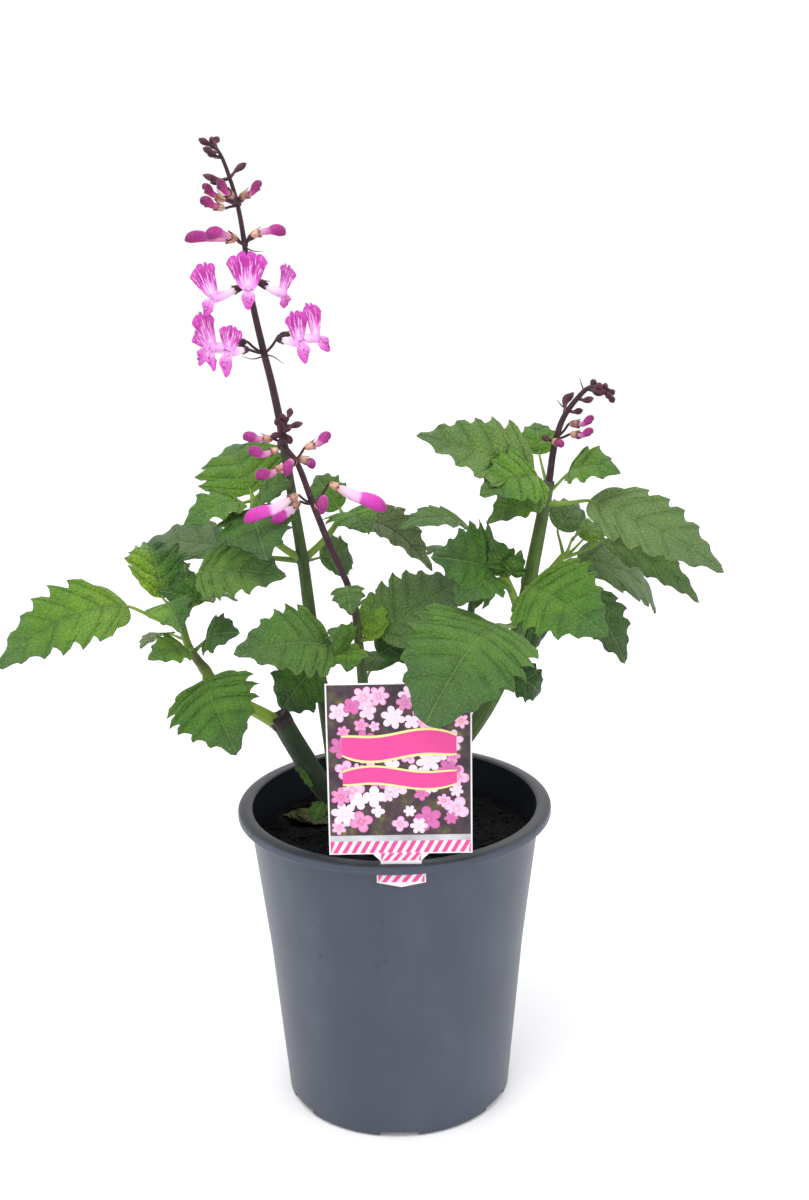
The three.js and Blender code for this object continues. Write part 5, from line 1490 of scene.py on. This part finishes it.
def stamen(throat, tongue, way, aside, length, rng):
    """A thread from the throat over the lower lip with a dark grain at its end."""
    side = unit(np.cross(tongue - throat, way))
    start = throat - way * 2 + side * aside
    bend = throat + way * 1.5 + side * aside * 1.4
    end = throat + way * 2 + side * aside * 1.8 + (tongue - throat) * length
    thread = tube(smooth_path([start, bend, end], 9) * MM, 0.2 * MM, 5, part=3.0)
    tip = end + 0.9 * unit(end - bend) + 0.1 * rng.normal(size=3)
    grain = tube((end + (tip - end) * np.linspace(0, 1, 5)[:, None]) * MM,
                 np.array([0.25, 0.5, 0.55, 0.45, 0.2]) * MM, 6, part=3.0, reach=1.0)
    return [thread, grain]


def make_bloom(number, flower, rng):
    """The tube, both lips, and four stamens over the lower one."""
    _, *places, span = flower
    neck, throat, lip, tongue = np.array(places, float)
    way = unit(throat - neck)
    start = neck - way * 1.5
    mouth = throat - way
    front = way + np.array([0, -BLOOM_TURN, 0])
    patches = [corolla_tube(start, throat), upper_lip(mouth, lip, front, span, rng),
               lower_lip(mouth, tongue, front, 8, rng)]
    for aside, length in ((-0.8, 0.45), (0.7, 0.4), (-0.3, 0.65), (0.4, 0.6)):
        patches += stamen(throat, tongue, way, aside, length, rng)
    piece(f"flower_{number}", patches, petal_look, [f"bloom_{number}"])


# %% Closed buds
def make_bud(spike, number, bud):
    """A club: a pale tube bent to a hood. Its radius swells to the girth and closes in a dome, and
    a crease runs along one side."""
    _, *places, girth = bud
    neck, bend, end = np.array(places, float)
    way = unit(bend - neck)
    path = smooth_path([neck - way * 1.5, neck + way * 0.3, bend, end], BUD_ROWS)
    run = np.linspace(0, 1, BUD_ROWS)
    hump = 0.3 * np.sin(np.pi * np.clip((run - 0.45) / 0.55, 0, 1)) - 0.35 * np.clip(4 * run - 3, 0, 1) ** 2
    path = path + girth * hump[:, None] * np.array([0, 0, 1])
    swell = [0.55, 0.74, 0.78, 0.92, 1, 0.98, 0.84, 0.58] if girth > 4 else \
        [0.5, 0.54, 0.64, 0.9, 1, 0.96, 0.8, 0.54]
    radius = np.interp(run, [0, 0.14, 0.3, 0.48, 0.6, 0.74, 0.85, 0.92, 0.97, 1],
                       [1.3, *(girth * part for part in swell), 0.1])
    radius = np.convolve(np.pad(radius, 2, mode="edge"), [0.1, 0.2, 0.4, 0.2, 0.1], mode="valid")
    deep = {"main": 1.0 if girth < 3.5 else 0.75, "second": 0.72 if girth < 4 else 0.12, "right": 0.8}
    shape = tube(path * MM, radius * MM, BUD_SIDES, part=4.0 + deep[spike], reach=run)
    turn = np.linspace(-1, 1, BUD_SIDES, endpoint=False)
    shape["marks"]["fan"] = np.tile(turn, BUD_ROWS + 2)
    crease = np.exp(-(np.abs(turn) / 0.12) ** 2) * 0.12
    folded = np.concatenate([[0], (run > 0.4) * np.sin(np.pi * run), [0]])
    centre = np.repeat(np.concatenate([path[:1], path, path[-1:]]) * MM, BUD_SIDES, axis=0)
    sink = 1 - (folded[:, None] * crease).reshape(-1, 1)
    shape["points"] = centre + (shape["points"] - centre) * sink
    name = f"bud_{spike}_{number}"
    piece(f"closed_{name}", [shape], petal_look, [name])


# %% [markdown]
# Petals are pale pink in the tube and bright magenta on the lobes. Dark streaks run out of the
# throat and break up in rows of dots. A bud is pale where it leaves its calyx and darkest on its
# hood. The number of a part, from 0 for the tube to 4 for a bud, picks its colours, and a bud's
# part over 4 makes it darker.

# %% Finish of petals
def petal_finish():
    finish = Finish("petal", Specular_IOR_Level=0.3, Sheen_Weight=0.08, Roughness=0.5)
    flat, place = finish.place("UV"), finish.place()
    part, reach, fan = finish.mark("part"), finish.mark("reach"), finish.mark("fan")
    soft = finish.noise(place, 160, 3, 0.6)
    dots = finish.cells(flat, 1.15, flat=True)
    pale, rose = (252, 226, 250), (238, 150, 230)
    magenta, violet = (200, 56, 176), (152, 28, 130)
    tube_colour = reach.ramp([(0.0, (232, 214, 200)), (0.35, pale), (1.0, rose)])
    spread = reach + (soft - 0.5) * 0.3 + abs(fan) * 0.35
    polar = finish.start.node("ShaderNodeCombineXYZ", None,
                              {0: fan * 6.0, 1: reach * 1.5, 2: finish.mark("seed")})
    ray = finish.noise(polar, 1.6, 2, 0.6)
    streaks = ray.rise(0.52, 0.62) * reach.rise(0.08, 0.3) * reach.fall(0.6, 0.95)
    light_rays = ray.fall(0.36, 0.48) * reach.rise(0.1, 0.35) * reach.fall(0.7, 1.0)
    stipple = dots.fall(0.22, 0.4) * reach.rise(0.35, 0.6)
    upper = spread.ramp([(0.12, pale), (0.4, rose), (0.68, magenta), (0.92, (182, 42, 158)),
                         (1.0, (200, 66, 178))]).coats(
        (light_rays * 0.75, pale), (streaks * 0.75, violet), (stipple * 0.5, violet))
    dotted = dots.fall(0.22, 0.36) * reach.rise(0.15, 0.4) * 0.7
    lower = (reach + (soft - 0.5) * 0.4).ramp([(0.1, pale), (0.5, (232, 130, 220)), (1.0, magenta)])
    lower = dotted.blend(lower, violet)
    thread = reach.blend((226, 150, 216), (150, 62, 128))
    dusk = (reach + (soft - 0.5) * 0.2).ramp([
        (0.16, (214, 140, 160)), (0.4, (168, 48, 124)), (0.7, (128, 22, 90)), (1.0, (92, 14, 64))])
    hood = (reach + (soft - 0.5) * 0.12).ramp([
        (0.12, (226, 196, 196)), (0.3, (244, 206, 240)), (0.48, (240, 190, 236)),
        (0.56, (214, 70, 188)), (0.8, (200, 50, 170)), (1.0, (176, 36, 144))]).coats(
        (part - 4.0, dusk),
        (finish.cells(flat, 0.8, flat=True).fall(0.18, 0.4) * 0.12, (236, 130, 205)))
    finish.wear(Base_Color=part.choose(tube_colour, upper, lower, thread, hood))
    finish.bump(soft, 0.0003, 0.5)
    return finish.material


# %% [markdown]
# The calyx is a small bell with five teeth on a thin pedicel, pale when young and purple-brown
# when old. The smallest buds are eggs with a bract under each, and all of it is fused with the
# dark axis and bears hairs.

# %% Calyces and axes
def calyx(node, neck, way, young, rng):
    """A thin pedicel and a bell with five teeth, the topmost the broadest."""
    foot = neck - way * CALYX_LENGTH
    stalk = smooth_path([node, (node + foot) / 2 + way * 0.6, foot, foot + way * 0.8], 12)
    patches = [tube(stalk * MM, 0.8 * MM, 8, rosy=0.25)]
    first = unit(np.cross(way, np.cross(way, [0, 0, -1]) + 1e-6))
    second = np.cross(way, first)
    turn = full_turn(30)
    top_tooth = np.exp(-(np.minimum(turn, 2 * np.pi - turn) / 0.6) ** 2)
    tooth = np.abs(np.cos(2.5 * turn)) ** 1.2 * (1 + 0.5 * top_tooth)
    t = np.array([0, 0, 0.15, 0.35, 0.6, 0.85, 1, 1.0, 0.8, 0.45, 0.45])[:, None]
    radius = np.array([0, 0.8, 1.5, 2.0, 2.25, 2.35, 2.55, 2.3, 2.1, 1.8, 0])[:, None]
    ribbed = 1 + 0.05 * np.cos(10 * turn)
    reach = CALYX_LENGTH * t + 1.9 * tooth * t ** 4
    flare = radius * ribbed + 0.55 * tooth * t ** 6 * (radius > 0)
    points = foot + reach[..., None] * way + flare[..., None] * circle(turn, first, second)
    patches.append(patch(points * MM, around=True, uv=(2 * turn[None, :], t * 5), young=young,
                         rosy=0.9 * t ** 5 * tooth))
    spots = np.linspace(0, 1, 6)[:, None] * CALYX_LENGTH * way + foot
    patches.append(hairs_along(spots, 2.1, 26, 0.5, 1.2, rng, young=young))
    return patches


def small_bud(route, rng):
    """An egg-shaped closed bud on its pedicel, with a pointed bract under it."""
    node, foot, _ = np.array(route, float)
    path = smooth_path(route, SMALL_BUD_ROWS)
    run = np.linspace(0, 1, SMALL_BUD_ROWS)
    radius = np.interp(run, [0, 0.3, 0.45, 0.65, 0.8, 0.93, 1], [0.7, 0.8, 1.4, 2.1, 1.9, 1.0, 0.1])
    egg = tube(path * MM, radius * MM, 12, young=rng.choice([0.0, 0.4]), rosy=0.4 + 0.6 * run)
    way = unit(foot - node)
    side = unit(np.cross(way, [0, 0, 1]) + 1e-6)
    t, a = strip_grid(9, 5)
    down = np.array([0, 0, -1.0])
    face = node + (4.5 * t)[..., None] * way + (1.3 * np.sin(np.pi * t ** 0.7) * a)[..., None] * side \
        + (0.6 + 0.8 * t - 0.8 * t ** 2 + 0.5 * a ** 2)[..., None] * down
    bract = patch(sheet(face, -down, 0.25) * MM, around=True, young=0.15, rosy=0.2)
    return [egg, bract, hairs_along(path[6:], radius[6:], 18, 0.5, 1.1, rng, rosy=0.6)]


def make_spike(name, seed):
    """The axis out of its stem, with the calyces of its flowers, its small buds and its bracts."""
    rng = np.random.default_rng(seed)
    route, radii = SPIKES[name]
    top, way = stem_end(name)
    whole = smooth_path([top - way * 3, top, *route], AXIS_ROWS)
    radius = spread_radii(radii, AXIS_ROWS)
    patches = [tube(whole * MM, radius * MM, 20, ridge=0.07),
               hairs_along(whole, radius, AXIS_HAIRS, 0.5, 1.3, rng)]
    for table, young in ((BLOOMS, 0.15), (BUDS, 0.75)):
        for flower in flowers(table, name):
            node, neck, aim = np.array(flower[:3], float)
            patches += calyx(node, neck, unit(aim - neck), young * rng.uniform(0.6, 1.3), rng)
    for bud in flowers(SMALL_BUDS, name):
        patches += small_bud(bud, rng)
    for bract in BRACTS.get(name, []):
        patches.append(tube(smooth_path(bract, 10) * MM, spread_radii((0.5, 0.35, 0.12), 10) * MM, 6,
                            young=0.2, rosy=0.3))
    piece(f"flower_axis_{name}", patches, axis_look, [f"spike_{name}"])


def axis_finish():
    finish = Finish("flower_axis", Specular_IOR_Level=0.3, Sheen_Weight=0.08)
    flat, place = finish.place("UV"), finish.place()
    streak = finish.noise(finish.stretched(flat, (0.9, 0.12, 1)), 1.0, 3)
    blotch = finish.noise(place, 240, 3, 0.6)
    old = (streak * 0.5 + blotch * 0.5).ramp([
        (0.3, (34, 18, 27)), (0.52, (58, 33, 44)), (0.75, (92, 62, 64))])
    fresh = blotch.ramp([(0.32, (150, 92, 88)), (0.52, (216, 168, 142)), (0.78, (240, 212, 184))])
    fresh = (streak.rise(0.5, 0.62) * 0.55).blend(fresh, (104, 48, 62))
    rosy = blotch.ramp([(0.3, (38, 12, 26)), (0.55, (72, 22, 46)), (0.75, (114, 54, 80))])
    worn = finish.mark("young").rise(0.2, 0.8).blend(old, fresh)
    finish.wear(Base_Color=(finish.mark("rosy").rise(0.1, 0.8) * 0.85).blend(worn, rosy),
                Roughness=0.5 + 0.2 * streak)
    finish.bump(streak, 0.0003, 0.6)
    return finish.material


petal_look = petal_finish()
axis_look = axis_finish()
flower_seed = np.random.default_rng(5)
for count, bloom in enumerate(flowers(BLOOMS, "main"), 1):
    make_bloom(f"main_{count}", bloom, flower_seed)
for spike_name in SPIKES:
    for count, closed in enumerate(flowers(BUDS, spike_name), 1):
        make_bud(spike_name, count, closed)
for spike_name, spike_seed in zip(SPIKES, (31, 32, 33)):
    make_spike(spike_name, spike_seed)

# %% [markdown]
# The plant was photographed against a plain white wall. A shallow bowl gives the same empty pale
# ground from every side: flat under the pot, and rising far away without an edge.

# %% Stage
STAGE_FLAT = 3.6
STAGE_CURVE = 1.6


def make_stage():
    swing = np.linspace(0.03, np.pi / 2, 24)
    rings = np.concatenate([np.linspace(0, STAGE_FLAT, 30), STAGE_FLAT + STAGE_CURVE * np.sin(swing)])
    rise = np.concatenate([np.zeros(30), STAGE_CURVE * (1 - np.cos(swing))])
    points = turned(np.stack([rings, rise], axis=-1), 96)
    finish = Finish("stage_paper", Specular_IOR_Level=0.1, Roughness=0.9, Emission_Strength=0.07,
                    Emission_Color=(1, 1, 1, 1))
    grain = finish.noise(finish.place(), 3.0, 2)
    finish.wear(Base_Color=grain.ramp([(0.2, (243, 243, 245)), (0.8, (249, 249, 250))]))
    bowl = mesh_object("stage_bowl", [patch(points, around=True)], finish.material)


make_stage()

# %% [markdown]
# The light in the photo is flat and soft: a big bright panel from above and a little to the front
# left, a weaker one from the right, one from behind, and pale walls that fill the shadows.

# %% Light
def area_light(name, place, aim, size, power):
    """A round panel at a place, turned to face the point it aims at."""
    data = bpy.data.lights.new(name, "AREA")
    data.shape = "DISK"
    data.size = size
    data.energy = power
    light = bpy.data.objects.new(name, data)
    bpy.context.collection.objects.link(light)
    back = unit(np.subtract(place, aim))
    side = unit(np.cross([0, 0, 1], back))
    matrix = np.eye(4)
    matrix[:3, 0], matrix[:3, 1], matrix[:3, 2], matrix[:3, 3] = side, np.cross(back, side), back, place
    light.matrix_world = Matrix(matrix.tolist())


area_light("panel_top", (-0.5, -0.9, 2.2), (0, 0, 0.3), 1.4, 22)
area_light("panel_right", (1.6, -1.1, 1.1), (0, 0, 0.3), 1.2, 5)
area_light("panel_back", (0.3, 1.5, 1.9), (0, 0, 0.35), 1.2, 8)
world = bpy.data.worlds.new("pale_room")
world.use_nodes = True
world.node_tree.nodes["Background"].inputs["Color"].default_value = (1, 1, 1, 1)
world.node_tree.nodes["Background"].inputs["Strength"].default_value = 1.0
bpy.context.scene.world = world
bpy.context.scene.view_settings.view_transform = "Standard"
